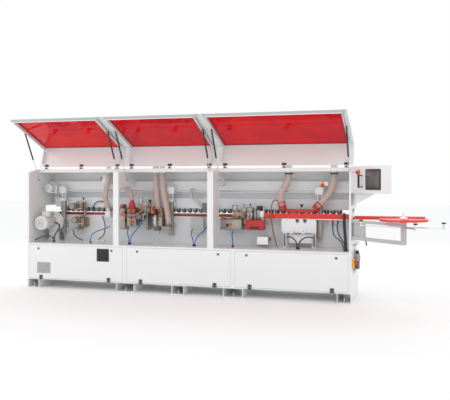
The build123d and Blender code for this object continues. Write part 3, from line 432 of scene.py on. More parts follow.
class Work:
    """Shapes of one piece, in millimetres."""

    def __init__(self):
        self.mesh = bmesh.new()
        self.names = []
        self.index = 0
        self.turn = Matrix.Identity(4)

    def use(self, finish_name):
        """Name the finish of the shapes that follow."""
        if finish_name not in self.names:
            self.names.append(finish_name)
        self.index = self.names.index(finish_name)
        return self

    def take(self, part):
        """Move one finished shape into the piece."""
        for face in part.faces:
            face.material_index = self.index
        bmesh.ops.transform(part, matrix=self.turn, verts=part.verts)
        store = bpy.data.meshes.new("part")
        part.to_mesh(store)
        part.free()
        self.mesh.from_mesh(store)
        bpy.data.meshes.remove(store)
        return self

    def box(self, x0, x1, y0, y1, z0, z1, edge=1.5):
        """A block whose edges are broken."""
        part = bmesh.new()
        size = Matrix.Diagonal((x1 - x0, y1 - y0, z1 - z0, 1))
        middle = Matrix.Translation(((x0 + x1) / 2, (y0 + y1) / 2, (z0 + z1) / 2))
        bmesh.ops.create_cube(part, size=1, matrix=middle @ size)
        if edge:
            reach = min(edge, 0.3 * min(x1 - x0, y1 - y0, z1 - z0))
            bmesh.ops.bevel(part, geom=part.edges[:], offset=reach, segments=2, affect="EDGES", profile=0.5)
        return self.take(part)

    def turned(self, start, along, profile, sides=28):
        """A turned part: (distance, radius) pairs along an axis, closed at both ends."""
        axis = Vector(along).normalized()
        spin = axis.to_track_quat("Z", "Y").to_matrix().to_4x4()
        place = Matrix.Translation(start) @ spin
        part = bmesh.new()
        rings = []
        for distance, radius in profile:
            if radius < 0.01:
                rings.append([part.verts.new((0, 0, distance))])
                continue
            ring = []
            for k in range(sides):
                angle = 2 * math.pi * k / sides
                ring.append(part.verts.new((radius * math.cos(angle), radius * math.sin(angle), distance)))
            rings.append(ring)
        for low, high in zip(rings, rings[1:]):
            for k in range(sides):
                nearby = (k + 1) % sides
                if len(low) == 1 and len(high) == 1:
                    continue
                if len(low) == 1:
                    part.faces.new((low[0], high[nearby], high[k]))
                elif len(high) == 1:
                    part.faces.new((low[k], low[nearby], high[0]))
                else:
                    part.faces.new((low[k], low[nearby], high[nearby], high[k]))
        if len(rings[0]) > 1:
            part.faces.new(list(reversed(rings[0])))
        if len(rings[-1]) > 1:
            part.faces.new(rings[-1])
        bmesh.ops.recalc_face_normals(part, faces=part.faces[:])
        bmesh.ops.transform(part, matrix=place, verts=part.verts)
        return self.take(part)

    def bar(self, start, end, radius, edge=1.0, sides=24):
        """A round bar with broken ends."""
        run = Vector(end) - Vector(start)
        reach = min(edge, radius * 0.4, run.length * 0.3)
        profile = [(0, radius - reach), (reach, radius), (run.length - reach, radius),
                   (run.length, radius - reach)]
        return self.turned(start, run, profile, sides)

    def ring(self, centre, along, big, small, sides=28, around=10):
        """A round ring of round section."""
        axis = Vector(along).normalized()
        place = Matrix.Translation(centre) @ axis.to_track_quat("Z", "Y").to_matrix().to_4x4()
        part = bmesh.new()
        loops = []
        for k in range(sides):
            angle = 2 * math.pi * k / sides
            loop = []
            for j in range(around):
                tilt = 2 * math.pi * j / around
                reach = big + small * math.cos(tilt)
                spot = (reach * math.cos(angle), reach * math.sin(angle), small * math.sin(tilt))
                loop.append(part.verts.new(spot))
            loops.append(loop)
        for k in range(sides):
            for j in range(around):
                a, b = loops[k], loops[(k + 1) % sides]
                part.faces.new((a[j], b[j], b[(j + 1) % around], a[(j + 1) % around]))
        bmesh.ops.recalc_face_normals(part, faces=part.faces[:])
        bmesh.ops.transform(part, matrix=place, verts=part.verts)
        return self.take(part)

    def plate(self, outline, low, high, plane="XZ", edge=1.0):
        """A flat plate cut to an outline, between two levels of the third axis."""
        part = bmesh.new()
        to_point = {
            "XZ": lambda a, b, c: (a, c, b),
            "XY": lambda a, b, c: (a, b, c),
            "YZ": lambda a, b, c: (c, a, b),
        }[plane]
        bottom = [part.verts.new(to_point(a, b, low)) for a, b in outline]
        top = [part.verts.new(to_point(a, b, high)) for a, b in outline]
        part.faces.new(bottom)
        part.faces.new(list(reversed(top)))
        count = len(outline)
        for k in range(count):
            part.faces.new((bottom[(k + 1) % count], bottom[k], top[k], top[(k + 1) % count]))
        bmesh.ops.recalc_face_normals(part, faces=part.faces[:])
        if edge:
            bmesh.ops.bevel(part, geom=part.edges[:], offset=min(edge, abs(high - low) * 0.3), segments=1,
                            affect="EDGES", profile=0.5)
        return self.take(part)

    def to_mesh(self, name, smooth=35):
        """The finished mesh, in metres."""
        bmesh.ops.transform(self.mesh, matrix=Matrix.Scale(MM, 4), verts=self.mesh.verts)
        store = bpy.data.meshes.new(name)
        self.mesh.to_mesh(store)
        self.mesh.free()
        for finish_name in self.names:
            store.materials.append(FINISHES[finish_name])
        store.polygons.foreach_set("use_smooth", [True] * len(store.polygons))
        store.set_sharp_from_angle(angle=math.radians(smooth))
        return store

    def piece(self, name, body, *stands_for):
        """Link the piece, let it ride on a body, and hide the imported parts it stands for."""
        made = bpy.data.objects.new(name, self.to_mesh(name))
        bpy.context.collection.objects.link(made)
        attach(made, body)
        if stands_for:
            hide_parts(*stands_for)
        print(f"{name}: {len(made.data.polygons)} faces on {body}")
        return made


# %% [markdown]
# ## Rows of copies with Geometry Nodes
#
# Pressure wheels, chain pads, vent slots and screws repeat at a fixed pitch. A small node tree does
# the counting: it lays points on a line or a grid, puts a copy on each, makes the copies real and
# gives them their finish. The count and the pitch are named inputs, so the same tree serves all rows.

# %% Row and grid trees
def input_id(tree, name):
    """The identifier of a tree's named input."""
    for item in tree.interface.items_tree:
        if item.item_type == "SOCKET" and item.in_out == "INPUT" and item.name == name:
            return item.identifier
    raise KeyError(name)


def new_tree(name, **inputs):
    """An empty tree with named inputs between its geometry and its finish."""
    tree = bpy.data.node_groups.new(name, "GeometryNodeTree")
    for title, kind in {"Geometry": "Geometry", **inputs, "Finish": "Material"}.items():
        tree.interface.new_socket(title.replace("_", " "), in_out="INPUT", socket_type="NodeSocket" + kind)
    tree.interface.new_socket("Geometry", in_out="OUTPUT", socket_type="NodeSocketGeometry")
    return tree, tree.nodes, tree.links.new, tree.nodes.new("NodeGroupInput")


def close_tree(tree, start, shape):
    """The end of every tree: real geometry that wears the finish."""
    real = tree.nodes.new("GeometryNodeRealizeInstances")
    dress = tree.nodes.new("GeometryNodeSetMaterial")
    finish = tree.nodes.new("NodeGroupOutput")
    tree.links.new(shape, real.inputs[0])
    tree.links.new(real.outputs[0], dress.inputs["Geometry"])
    tree.links.new(start.outputs["Finish"], dress.inputs["Material"])
    tree.links.new(dress.outputs[0], finish.inputs[0])
    return tree


def grid_tree():
    """Copies of a part on a grid: two counts, two pitches and a start."""
    tree, nodes, link, start = new_tree("grid of copies", Part="Object", Columns="Int",
                                        Column_pitch="Vector", Rows="Int", Row_pitch="Vector",
                                        Start="Vector")
    across = nodes.new("GeometryNodeMeshLine")
    link(start.outputs["Columns"], across.inputs["Count"])
    link(start.outputs["Start"], across.inputs["Start Location"])
    link(start.outputs["Column pitch"], across.inputs["Offset"])
    upward = nodes.new("GeometryNodeMeshLine")
    link(start.outputs["Rows"], upward.inputs["Count"])
    link(start.outputs["Row pitch"], upward.inputs["Offset"])
    spread = nodes.new("GeometryNodeInstanceOnPoints")
    link(across.outputs[0], spread.inputs["Points"])
    link(upward.outputs[0], spread.inputs["Instance"])
    points = nodes.new("GeometryNodeRealizeInstances")
    link(spread.outputs[0], points.inputs[0])
    part = nodes.new("GeometryNodeObjectInfo")
    link(start.outputs["Part"], part.inputs["Object"])
    copies = nodes.new("GeometryNodeInstanceOnPoints")
    link(points.outputs[0], copies.inputs["Points"])
    link(part.outputs["Geometry"], copies.inputs["Instance"])
    return close_tree(tree, start, copies.outputs[0])


def loop_tree():
    """Copies of a part round a closed track, each turned to follow it."""
    tree, nodes, link, start = new_tree("copies round a track", Part="Object", Count="Int")
    track = nodes.new("GeometryNodeResampleCurve")
    link(start.outputs["Geometry"], track.inputs["Curve"])
    link(start.outputs["Count"], track.inputs["Count"])
    tangent = nodes.new("GeometryNodeInputTangent")
    aim = nodes.new("FunctionNodeAlignRotationToVector")
    aim.axis = "X"
    aim.pivot_axis = "Y"
    link(tangent.outputs[0], aim.inputs["Vector"])
    part = nodes.new("GeometryNodeObjectInfo")
    link(start.outputs["Part"], part.inputs["Object"])
    copies = nodes.new("GeometryNodeInstanceOnPoints")
    link(track.outputs[0], copies.inputs["Points"])
    link(part.outputs["Geometry"], copies.inputs["Instance"])
    link(aim.outputs[0], copies.inputs["Rotation"])
    return close_tree(tree, start, copies.outputs[0])


GRID = grid_tree()
LOOP = loop_tree()


def grow(tree, settings, seed_data=None):
    """Run a tree on a seed object and return the plain mesh it makes."""
    seed = bpy.data.objects.new("seed", seed_data or bpy.data.meshes.new("seed"))
    bpy.context.collection.objects.link(seed)
    modifier = seed.modifiers.new("copies", "NODES")
    modifier.node_group = tree
    for name, value in settings.items():
        modifier[input_id(tree, name)] = value
    bpy.context.view_layer.update()
    ready = seed.evaluated_get(bpy.context.evaluated_depsgraph_get())
    mesh = bpy.data.meshes.new_from_object(ready)
    seed.modifiers.remove(modifier)
    bpy.data.objects.remove(seed)
    return mesh


def linked(name, mesh, body, *stands_for):
    """A plain object from a mesh, on a body."""
    mesh.name = name
    made = bpy.data.objects.new(name, mesh)
    bpy.context.collection.objects.link(made)
    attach(made, body)
    if stands_for:
        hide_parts(*stands_for)
    print(f"{name}: {len(mesh.polygons)} faces on {body}")
    return made


def row(name, part, finish_name, body, start, columns, column_pitch, rows=1, row_pitch=(0, 0, 0),
        stands_for=()):
    """A row or grid of copies of a part; sizes in millimetres."""
    holder = bpy.data.objects.new("part", part.to_mesh("part"))
    bpy.context.collection.objects.link(holder)
    settings = {
        "Part": holder,
        "Columns": columns,
        "Column pitch": tuple(v * MM for v in column_pitch),
        "Rows": rows,
        "Row pitch": tuple(v * MM for v in row_pitch),
        "Start": tuple(v * MM for v in start),
        "Finish": FINISHES[finish_name],
    }
    mesh = grow(GRID, settings)
    bpy.data.objects.remove(holder)
    return linked(name, mesh, body, *stands_for)


print("grid and track trees ready")

# %% [markdown]
# ## Pressure wheels
#
# Boards are held down on the chain by two rows of rubber wheels under the lifting beam. Each wheel has
# a black tyre, a pale hub with a bolt, and a short white arm. The three go in as three rows over the
# same stations.

# %% Pressure wheels
WHEEL_START = -1761
WHEEL_PITCH = 72
WHEEL_COUNT = 50
WHEEL_Z = 934


def wheel_rows():
    """Tyres, hubs and arms over the same stations."""
    tyre = Work().use("black rubber")
    hub = Work().use("brushed steel")
    arm = Work().use("white plastic")
    for y0, y1, front in ((121, 142.6, 121), (157.4, 179, 179)):
        side = -1 if front == 121 else 1
        middle = (y0 + y1) / 2
        half = (y1 - y0) / 2
        tyre.turned(
            (0, y0, 0), BACK, [(0, 14), (0, 23), (2.5, 26), (2 * half - 2.5, 26), (2 * half, 23),
            (2 * half, 14)], 24)
        hub.turned(
            (0, middle, 0), (0, side, 0), [(0, 13.8), (half + 0.6, 13.8), (half + 1.2, 12),
            (half - 1, 10), (half - 1, 5), (half + 3.4, 5), (half + 4.2, 4), (half + 4.2, 0)], 16)
    arm.box(-5, 5, 112.5, 116.5, 14, 36, 1)
    for name, part, finish_name, stands_for in (
        ("wheel_tyres", tyre, "black rubber", ("press_wheels",)),
        ("wheel_hubs", hub, "brushed steel", ()),
        ("wheel_arms", arm, "white plastic", ()),
    ):
        row(name, part, finish_name, "pressure_beam", (WHEEL_START, 0, WHEEL_Z), WHEEL_COUNT,
            (WHEEL_PITCH, 0, 0), stands_for=stands_for)


wheel_rows()

# %% [markdown]
# ## The pad chain
#
# The board rides on a chain of rubber-faced pads that runs along the bed and round a sprocket at each
# end. A closed curve is the track, the tree spaces pads along it, and each pad turns with the curve.
# In front of it lies a red guard strip with a row of pale dashes along its top.

# %% Pad chain
SPROCKET_X = 1800
SPROCKET_Z = 780
TRACK_RADIUS = 102
PAD_COUNT = 174
BEND_STEPS = 24


def track_curve(radius):
    """The chain's closed track, on the line through the pads' middle."""
    curve = bpy.data.curves.new("track", "CURVE")
    curve.dimensions = "3D"
    spline = curve.splines.new("POLY")
    points = []
    for side, first in ((1, 90), (-1, 270)):
        for k in range(BEND_STEPS + 1):
            angle = math.radians(first - 180 * k / BEND_STEPS)
            points.append((side * SPROCKET_X + radius * math.cos(angle), 155,
                           SPROCKET_Z + radius * math.sin(angle)))
    spline.points.add(len(points) - 1)
    for point, spot in zip(spline.points, points):
        point.co = (*[v * MM for v in spot], 1)
    spline.use_cyclic_u = True
    return curve


def chain():
    """The rubber pads and the steel links under them."""
    for name, finish_name, shape in (
        ("chain_pads", "black rubber", (-20.5, 20.5, -30, 30, 4, 17.5)),
        ("chain_links", "dark steel", (-17, 17, -22, 22, -17, 4)),
    ):
        part = Work().use(finish_name).box(*shape, 1.5)
        holder = bpy.data.objects.new("part", part.to_mesh("part"))
        bpy.context.collection.objects.link(holder)
        settings = {"Part": holder, "Count": PAD_COUNT, "Finish": FINISHES[finish_name]}
        mesh = grow(LOOP, settings, track_curve(TRACK_RADIUS))
        bpy.data.objects.remove(holder)
        linked(name, mesh, "machine", *(("feed_chain",) if name == "chain_pads" else ()))


chain()
guard = Work().use("guard red").box(-1660, 905, 113, 119, 868, 892, 1.2)
guard.box(-1660, 905, 112, 119, 862, 869, 1)
guard.piece("chain_guard", "machine")
dash = Work().use("white plastic").box(0, 9, 112.4, 118, 892.3, 898, 1)
row("guard_dashes", dash, "white plastic", "machine", (-1655, 0, 0), 142, (18, 0, 0))

# %% [markdown]
# ## Doors and base
#
# The three lower doors have two quarter-turn locks each, and the left one has a vent pressed into it
# and a square fan filter. Its slots are black patches of painted shade, in offset rows made as two grids,
# one shifted by half a pitch.

# %% Locks, vent and filter
LOCKS = {1: (-1799, -821), 2: (-496, 486), 3: (813, 1795)}
CLIPS = {1: (-1763, -860), 2: (-452, 445), 3: (849, 1751)}
for number, places in LOCKS.items():
    lock = Work()
    for x in places:
        lock.use("dark steel").turned(
            (x, -375, 475), FORWARD, [(0, 14), (2, 14), (3.4, 12), (3.4, 9), (2.4, 8.5), (2.4, 0)], 28)
        # A black bar on each lock's face: painted shade in its key slot.
        lock.use("black plastic").box(x - 6, x + 6, -378.6, -377, 473, 477, 0.5)
    for x in CLIPS[number]:
        lock.use("black paint").box(x - 23, x + 23, -379, -375, 124, 156, 1.2)
        for dx in (-14, 14):
            for z in (132, 148):
                lock.use("brushed steel").turned(
                    (x + dx, -379, z), FORWARD, [(0, 4), (1.2, 3.4), (1.2, 0)], 12)
        for near, far in ((-22.3, -8.6), (8.6, 22.3)):
            lock.use("black plastic").bar((x + near, -381, 119.5), (x + far, -381, 119.5), 4.9, 0.6, 16)
    lock.piece(f"door_fittings_{number}", f"door_{number}")

for name, start, columns in (
    ("vent_slots", (-1818, 0, 180), 11),
    ("vent_slots_between", (-1809, 0, 187.3), 10),
):
    # Black patches for the vent's slots: painted shade where the openings are.
    slot = Work().use("black plastic").box(0, 12, -375.6, -374.5, 0, 5.4, 0.5)
    row(name, slot, "black plastic", "door_1", start, columns, (17.5, 0, 0), 9, (0, 0, 14.6))

cover = Work().use("black plastic").box(-1012, -856, -381, -375, 345, 494, 3)
cover.use("black rubber").box(-1004, -864, -382, -380.5, 353, 486, 1)
cover.piece("filter_frame", "door_1")
blade = Work().use("black plastic").box(-1002, -866, -384, -380.5, 0, 5, 1)
row("filter_blades", blade, "black plastic", "door_1", (0, 0, 357), 1, (1, 0, 0), 13, (0, 0, 10))

# %% [markdown]
# ## Hoods
#
# Each hood is modelled closed, where its numbers are easy, and then swung open about the hinge axis,
# just as the imported one was. A thin black gasket frames the window, grey strips of painted shade line
# the lip and the side flanges, and black leaves sit on the hinges.

# %% Hood gaskets and hinge leaves
HINGE = Vector((0, -119, 1455))
SWING = math.radians(-113.3)


def about_hinge(angle):
    """A turn about the line of the hinge pins."""
    return Matrix.Translation(HINGE) @ Matrix.Rotation(angle, 4, "X") @ Matrix.Translation(-HINGE)


HOOD_OPEN = about_hinge(SWING)
FACES = {1: (-1930, -803), 2: (-733, 358), 3: (428, 1930)}
HINGES = {1: (-1847, -1361, -876), 2: (-685, -193, 299), 3: (489, 1181, 1873)}
TILT = math.atan2(21, 264)

for number in (1, 2, 3):
    left, right = FACES[number]
    trim = Work()
    trim.turn = HOOD_OPEN
    trim.use("black rubber")
    for x0, x1, z0, z1 in (
        (left + 40, left + 48, 712, 1408),
        (right - 48, right - 40, 712, 1408),
        (left + 40, right - 40, 710, 717),
        (left + 40, right - 40, 1400, 1408),
    ):
        trim.box(x0, x1, -376.3, -373, z0, z1, 0.8)
    # Grey strips of painted shade: across the window's lower edge, on the lip's outer face and along both
    # side flanges, where the open hood's lip lies in shadow.
    trim.use("shaded lip")
    trim.box(left + 34, right - 34, -376.4, -374, 667, 711, 0.8)
    trim.box(left + 2, right - 2, -378, -345, 663.0, 664.1, 0.3)
    for x0, x1 in ((left + 24, left + 31.8), (right - 31.8, right - 24)):
        trim.box(x0, x1, -381, -366, 680, 1380, 1)
    trim.piece(f"hood_trim_{number}", f"hood_{number}")
    leaves = Work()
    leaves.turn = HOOD_OPEN @ about_hinge(TILT)
    for x in HINGES[number]:
        leaves.use("black paint").box(x - 26, x + 26, -161, -133, 1449, 1452.8, 1)
        for dx in (-16, 16):
            leaves.use("dark steel").turned(
                (x + dx, -149, 1449.2), (0, 0, -1), [(0, 4), (1.6, 3), (1.6, 0)], 12)
    leaves.piece(f"hood_hinges_{number}", f"hood_{number}")

# %% [markdown]
# ## Motors
#
# An induction motor is a finned casting with a domed fan cover at one end and a terminal box on top.
# The fins are boxes set round the body, and grey rings on the fan cover are painted shade for its
# openings. The same maker serves the large feed motor and the small ones in the working units.

# %% Motor maker
def motor(work, front, back, radius, colour, fins=22, cover=None):
    """A motor between two points on an axis, its fan cover at the front end."""
    front = Vector(front)
    back = Vector(back)
    axis = (back - front).normalized()
    length = (back - front).length
    cover = cover or radius * 1.1
    lead = length * 0.2
    work.use(colour)
    work.turned(
        front, axis, [(0, 0), (0, cover * 0.5), (lead * 0.12, cover * 0.82), (lead * 0.4, cover * 0.97),
        (lead * 0.7, cover), (lead, cover), (lead, radius * 0.8)], 32)
    work.turned(
        front, axis, [(lead, radius * 0.86), (length * 0.94, radius * 0.86),
        (length * 0.95, radius * 0.98), (length, radius * 0.98), (length, 0)], 32)
    spin = axis.to_track_quat("Z", "Y").to_matrix().to_4x4()
    before = work.turn.copy()
    for k in range(fins):
        angle = 2 * math.pi * (k + 0.5) / fins
        work.turn = before @ Matrix.Translation(front) @ spin @ Matrix.Rotation(angle, 4, "Z")
        work.box(radius * 0.8, radius, -radius * 0.025 - 0.6, radius * 0.025 + 0.6, lead + 3,
                 length * 0.93, 0.8)
    work.turn = before
    # Grey rings and a grey hub on the fan cover: painted shade where its openings are.
    shaded_opening_reach = cover * 0.62
    work.use("grey plastic")
    for k in range(3):
        reach = shaded_opening_reach * (1 - 0.27 * k)
        work.ring(front - axis * 0.4, axis, reach, cover * 0.035, 28, 6)
    work.turned(
        front - axis * 0.8, axis, [(0, 0), (0, cover * 0.14), (1.5, cover * 0.16), (3, cover * 0.1)], 16)
    return work


feed = Work()
motor(feed, (-1800, -344, 780), (-1800, -62, 780), 80, "motor white", 26, 87)
feed.use("motor white").turned(
    (-1800, -62, 780), BACK, [(0, 92), (6, 104), (12, 104), (12, 84), (30, 84), (34, 122), (40, 125),
    (72, 125), (77.5, 118), (77.5, 0)], 40)
feed.box(-1860, -1740, -40, 16, 540.5, 690, 4)
feed.box(-1884, -1716, -44, 16, 540.5, 556, 3)
feed.box(-1852, -1748, -222, -112, 852, 905, 7)
feed.box(-1856, -1744, -226, -108, 905, 915, 3)
feed.use("grey plastic").bar((-1745, -165, 880), (-1722, -165, 880), 11)
for k in range(8):
    turn = 2 * math.pi * k / 8
    feed.use("dark steel").turned(
        (-1800 + 112 * math.cos(turn), -24, 780 + 112 * math.sin(turn)), FORWARD, [(0, 6), (6, 6),
        (7, 5), (7, 0)], 6)
feed.piece("feed_motor_casting", "machine", "feed_motor")

# %% [markdown]
# ## Lift jacks and their motor
#
# The pressure beam hangs on three screw jacks. A painted gearbox sits on two bright posts, the cap and
# the ground column below carry the bracket of the beam, and a slim shaft joins the three gearboxes. A
# small motor on the left turns the shaft.

# %% Jacks
jack = Work()
for x in (-1692, -233, 1558):
    jack.use("cast aluminium").box(x - 25, x + 25, 18, 62, 640, 1040, 2)
    for z in (655, 700, 760, 820, 905, 985):
        jack.use("dark steel").turned((x, 18, z), FORWARD, [(0, 5), (1.5, 5), (2, 4), (2, 0)], 6)
    jack.use("inner white paint").box(x - 25, x + 25, 62, 110, 650, 700, 1)
    jack.box(x - 25, x + 25, 62, 110, 790, 850, 1)
    jack.box(x - 35, x + 35, 6, 62, 1040, 1075, 3)
    jack.box(x - 48, x + 48, -3, 75, 1137, 1225, 4)
    jack.box(x - 30, x + 30, 75, 120, 1165, 1215, 2)
    jack.use("chrome")
    for side in (-20, 20):
        jack.bar((x + side, 35, 1075), (x + side, 35, 1137), 9)
    jack.turned((x, 35, 1075), UP, [(d, 6 if d % 4 else 4.6) for d in range(0, 63, 2)], 16)
    jack.use("dark steel")
    for dx in (-38, 38):
        for z in (1147, 1215):
            jack.turned((x + dx, -3, z), FORWARD, [(0, 4), (1.5, 4), (2, 3), (2, 0)], 6)
motor(jack, (-1830, -119, 1201), (-1830, 2, 1201), 46, "motor white", 18, 50)
jack.use("motor white").box(-1880, -1775, 0, 75, 1140, 1240, 6).box(-1860, -1795, 75, 120, 1165, 1220, 2)
jack.box(-1868, -1800, -80, -20, 1146, 1162, 4)
jack.piece("jack_set", "machine", "lift_jacks")

# %% [markdown]
# ## Buffing unit
#
# Two small motors turn cotton wheels above and below the edge. Their arms are bronze-coloured
# castings with a micrometer screw, seen as stepped blocks with ribs, bolts and a black cone knob.

# %% Buffing unit
def cone_knob(work, x, y, z, radius, rise):
    """A black cone knob on a short stem, wide end up."""
    work.use("brushed steel").bar((x, y, z), (x, y, z + rise * 0.5), radius * 0.25, 0.3, 12)
    work.use("black plastic").turned(
        (x, y, z + rise * 0.35), UP, [(0, radius * 0.35), (rise * 0.1, radius * 0.4),
        (rise * 0.5, radius * 0.95), (rise * 0.62, radius), (rise * 0.65, radius * 0.9),
        (rise * 0.65, 0)], 20)


def hand_knob(work, x, y, z, radius=20, depth=22, colour="orange plastic", lobes=8):
    """A lobed hand knob whose axis runs front to back."""
    work.use(colour).turned(
        (x, y + depth / 2, z), FORWARD, [(0, radius * 0.6), (2, radius * 0.9),
        (depth * 0.75, radius * 0.86), (depth, radius * 0.7), (depth, 0)], 24)
    for k in range(lobes):
        turn = 2 * math.pi * k / lobes
        cx = x + radius * 0.82 * math.cos(turn)
        cz = z + radius * 0.82 * math.sin(turn)
        work.bar((cx, y + depth * 0.4, cz), (cx, y - depth * 0.42, cz), radius * 0.24, 1.2, 10)
    work.use("black plastic").turned(
        (x, y - depth / 2, z), FORWARD, [(0, radius * 0.4), (0.8, radius * 0.38), (0.8, 0)], 16)


def bolts(work, places, y, radius=4.5):
    """Hexagon heads on a face that looks to the front."""
    work.use("dark steel")
    for x, z in places:
        work.turned((x, y, z), FORWARD, [(0, radius), (3, radius), (3.6, radius * 0.8), (3.6, 0)], 6)


buff = Work()
for x, z in ((-1524, 977), (-1489, 806)):
    buff.use("grey plastic").box(x - 36, x + 36, -58, 22, z - 36, z + 36, 5)
    motor(buff, (x, -80, z), (x, 40, z), 40, "cast aluminium", 18, 41)
buff.use("bronze casting").box(-1486, -1458, -20, 56, 925, 1030, 3).box(-1454, -1400, -16, 56, 935, 1008, 4)
buff.use("cast aluminium").box(-1452, -1408, -20, -10, 1008, 1038, 2)
buff.box(-1448, -1404, -4, 50, 1008, 1030, 3)
buff.use("bronze casting").box(-1451, -1425, -40, 56, 706, 846, 4).box(-1420, -1372, -38, 56, 716, 836, 6)
buff.use("cast aluminium").box(-1425, -1370, 56, 110, 720, 830, 2).box(-1560, -1451, -40, 110, 684, 700, 2)
buff.use("cast aluminium").box(-1398, -1382, 20, 56, 850, 1030, 2)
buff.use("chrome")
for x in (-1478, -1464, -1436, -1420):
    buff.bar((x, -6, 1000), (x, -6, 1036), 4)
buff.bar((-1470, -24, 945), (-1405, -24, 945), 5)
buff.bar((-1440, -42, 760), (-1380, -42, 760), 5)
cone_knob(buff, -1407, 20, 1036, 14, 50)
bolts(buff, [(-1478, 940), (-1464, 958), (-1440, 950), (-1412, 992)], -20)
bolts(buff, [(-1440, 720), (-1432, 832), (-1382, 726), (-1410, 826)], -40)
buff.piece("buffing_castings", "machine", "buffing_unit")

# %% [markdown]
# ## Trimming unit
#
# The densest part of the machine: two copying motors on slides, cast brackets, chromed guide rods,
# orange hand knobs with position dials, and a red dust cone. Many small shapes at different depths
# give the look of a real fine-adjustment head.

# %% Trimming unit
def slide_pair(work, x0, x1, y, z, radius=6, gap=26):
    """Two chromed rods one above the other."""
    work.use("chrome")
    for rise in (0, gap):
        work.bar((x0, y, z + rise), (x1, y, z + rise), radius, 0.8, 16)


unit = Work()
unit.use("cast aluminium").box(-856, -774, -106, -4, 704, 868, 5).box(-846, -784, -96, -10, 872, 960, 4)
unit.use("dark steel").box(-840, -790, -104, -30, 964, 1010, 3)
unit.use("bronze casting").box(-756, -700, -96, 38, 902, 953, 4).box(-692, -644, -98, 38, 908, 950, 4)
unit.use("cast aluminium").box(-758, -704, -98, 40, 742, 858, 5).box(-698, -642, -88, 40, 752, 850, 4)
unit.box(-758, -642, 40, 110, 762, 838, 2)
motor(unit, (-572, -150, 868), (-572, 60, 868), 37, "dark steel", 18, 38)
motor(unit, (-463, -150, 948), (-463, 60, 948), 37, "dark steel", 18, 38)
unit.use("cast aluminium").box(-618, -600, -120, 60, 832, 904, 3).box(-546, -522, -130, 58, 834, 902, 3)
unit.box(-508, -496, -130, 58, 912, 982, 2).box(-428, -417, -130, 58, 912, 982, 2)
unit.use("bronze casting").box(-598, -522, -58, 18, 907, 998, 5).box(-590, -530, -64, -50, 920, 985, 2)
unit.use("cast aluminium").box(-520, -500, -60, 60, 704, 1018, 3).box(-520, -500, 60, 110, 720, 820, 2)
unit.use("inner white paint").box(-1066, -996, -66, 50, 850, 925, 5).box(-1056, -1006, 50, 110, 790, 866, 2)
slide_pair(unit, -780, -640, -70, 870, 5, 18)
slide_pair(unit, -600, -510, -72, 760, 6, 30)
slide_pair(unit, -640, -520, -40, 1004, 5, 14)
unit.use("chrome")
for x in (-735, -668, -560, -545, -480, -440):
    unit.bar((x, -52, 955), (x, -52, 1018), 5, 0.8, 14)
unit.use("red paint").turned(
    (-705, -60, 955), UP, [(0, 44), (48, 42), (95, 24), (112, 24), (112, 20), (100, 0)], 28)
unit.use("brushed steel").turned(
    (-605, -20, 1000), UP, [(0, 20), (4, 21), (8, 20), (104, 20), (108, 17), (111, 9), (121, 9),
    (121, 0)], 24)
for x, y, z in ((-820, -120, 985), (-800, -120, 907), (-665, -110, 935), (-690, -110, 802)):
    hand_knob(unit, x, y, z)
for x, y, z in ((-736, -106, 860), (-650, -104, 846), (-556, -148, 930), (-430, -150, 1000)):
    hand_knob(unit, x, y, z, 13, 16)
for x, y, z in ((-782, -108, 820), (-610, -104, 905), (-500, -136, 900)):
    unit.use("black plastic").box(x - 13, x + 13, y - 8, y + 8, z - 13, z + 13, 3)
    unit.use("white plastic").box(x - 8, x + 8, y - 9, y - 7, z - 5, z + 5, 0.6)
cone_knob(unit, -470, -60, 985, 18, 84)
bolts(unit, [(-850, 720), (-780, 720), (-850, 852), (-780, 852)], -98)
bolts(unit, [(-750, 750), (-712, 848), (-690, 762), (-650, 840)], -98)
bolts(unit, [(-512, 720), (-508, 800), (-512, 1000)], -60)
unit.use("brushed steel").turned(
    (-1042, -32, 962), (26, -2, -78), [(0, 34), (3, 36), (9, 36), (12, 34), (45, 34), (45, 0)], 28)
unit.piece("trim_castings", "machine", "trim_unit")

# %% [markdown]
# ## Scraping unit
#
# A compact block with a short air cylinder, two hand knobs, and a spool below. The two hoses to its
# left and right end in rigid cuffs.

# %% Scraping unit
scrape = Work()
scrape.use("cast aluminium").box(-423, -366, -88, 48, 744, 876, 4).box(-362, -306, -84, 48, 752, 868, 4)
scrape.box(-400, -310, 48, 110, 762, 858, 2).box(-348, -312, -58, 48, 872, 907, 2)
scrape.use("bronze casting").box(-410, -312, -58, 58, 908, 963, 4)
scrape.use("black paint").box(-404, -372, -100, -58, 900, 948, 3)
scrape.use("brushed steel").turned(
    (-382, -112, 776), UP, [(0, 12), (3, 22), (92, 22), (96, 12), (110, 6), (118, 6), (118, 0)], 24)
scrape.turned(
    (-375, -50, 664), UP, [(0, 34), (4, 34), (4, 14), (30, 14), (30, 34), (35, 34), (35, 0)], 28)
scrape.use("dark steel").box(-418, -342, -78, -12, 701, 742, 3)
scrape.use("cast aluminium").box(-304, -190, -110, -30, 735, 750, 2)
slide_pair(scrape, -420, -310, -96, 800, 4, 14)
hand_knob(scrape, -392, -160, 926)
hand_knob(scrape, -336, -96, 884, 14, 16)
hand_knob(scrape, -408, -96, 962, 14, 16)
scrape.use("chrome").bar((-392, -150, 926), (-392, -60, 926), 5)
bolts(scrape, [(-416, 754), (-374, 754), (-416, 866), (-355, 760), (-314, 860)], -88)
for start, along in (((-372, -42, 985), (14, -6, -100)), ((-226, -64, 805), (16, -4, -95))):
    scrape.use("grey plastic").turned(
        start, along, [(0, 40), (4, 42), (10, 42), (13, 40), (30, 40), (30, 0)], 28)
scrape.piece("scraper_castings", "machine", "scraping_unit")

# %% [markdown]
# ## Glue pot and pressure rollers
#
# The glue pot is a red enamelled box with a dark plate across it, and its applicator stands behind the
# roller. The pressure zone has a wide tan housing and several small rollers. Both are built from blocks,
# turned parts and the knobs made for the units before.

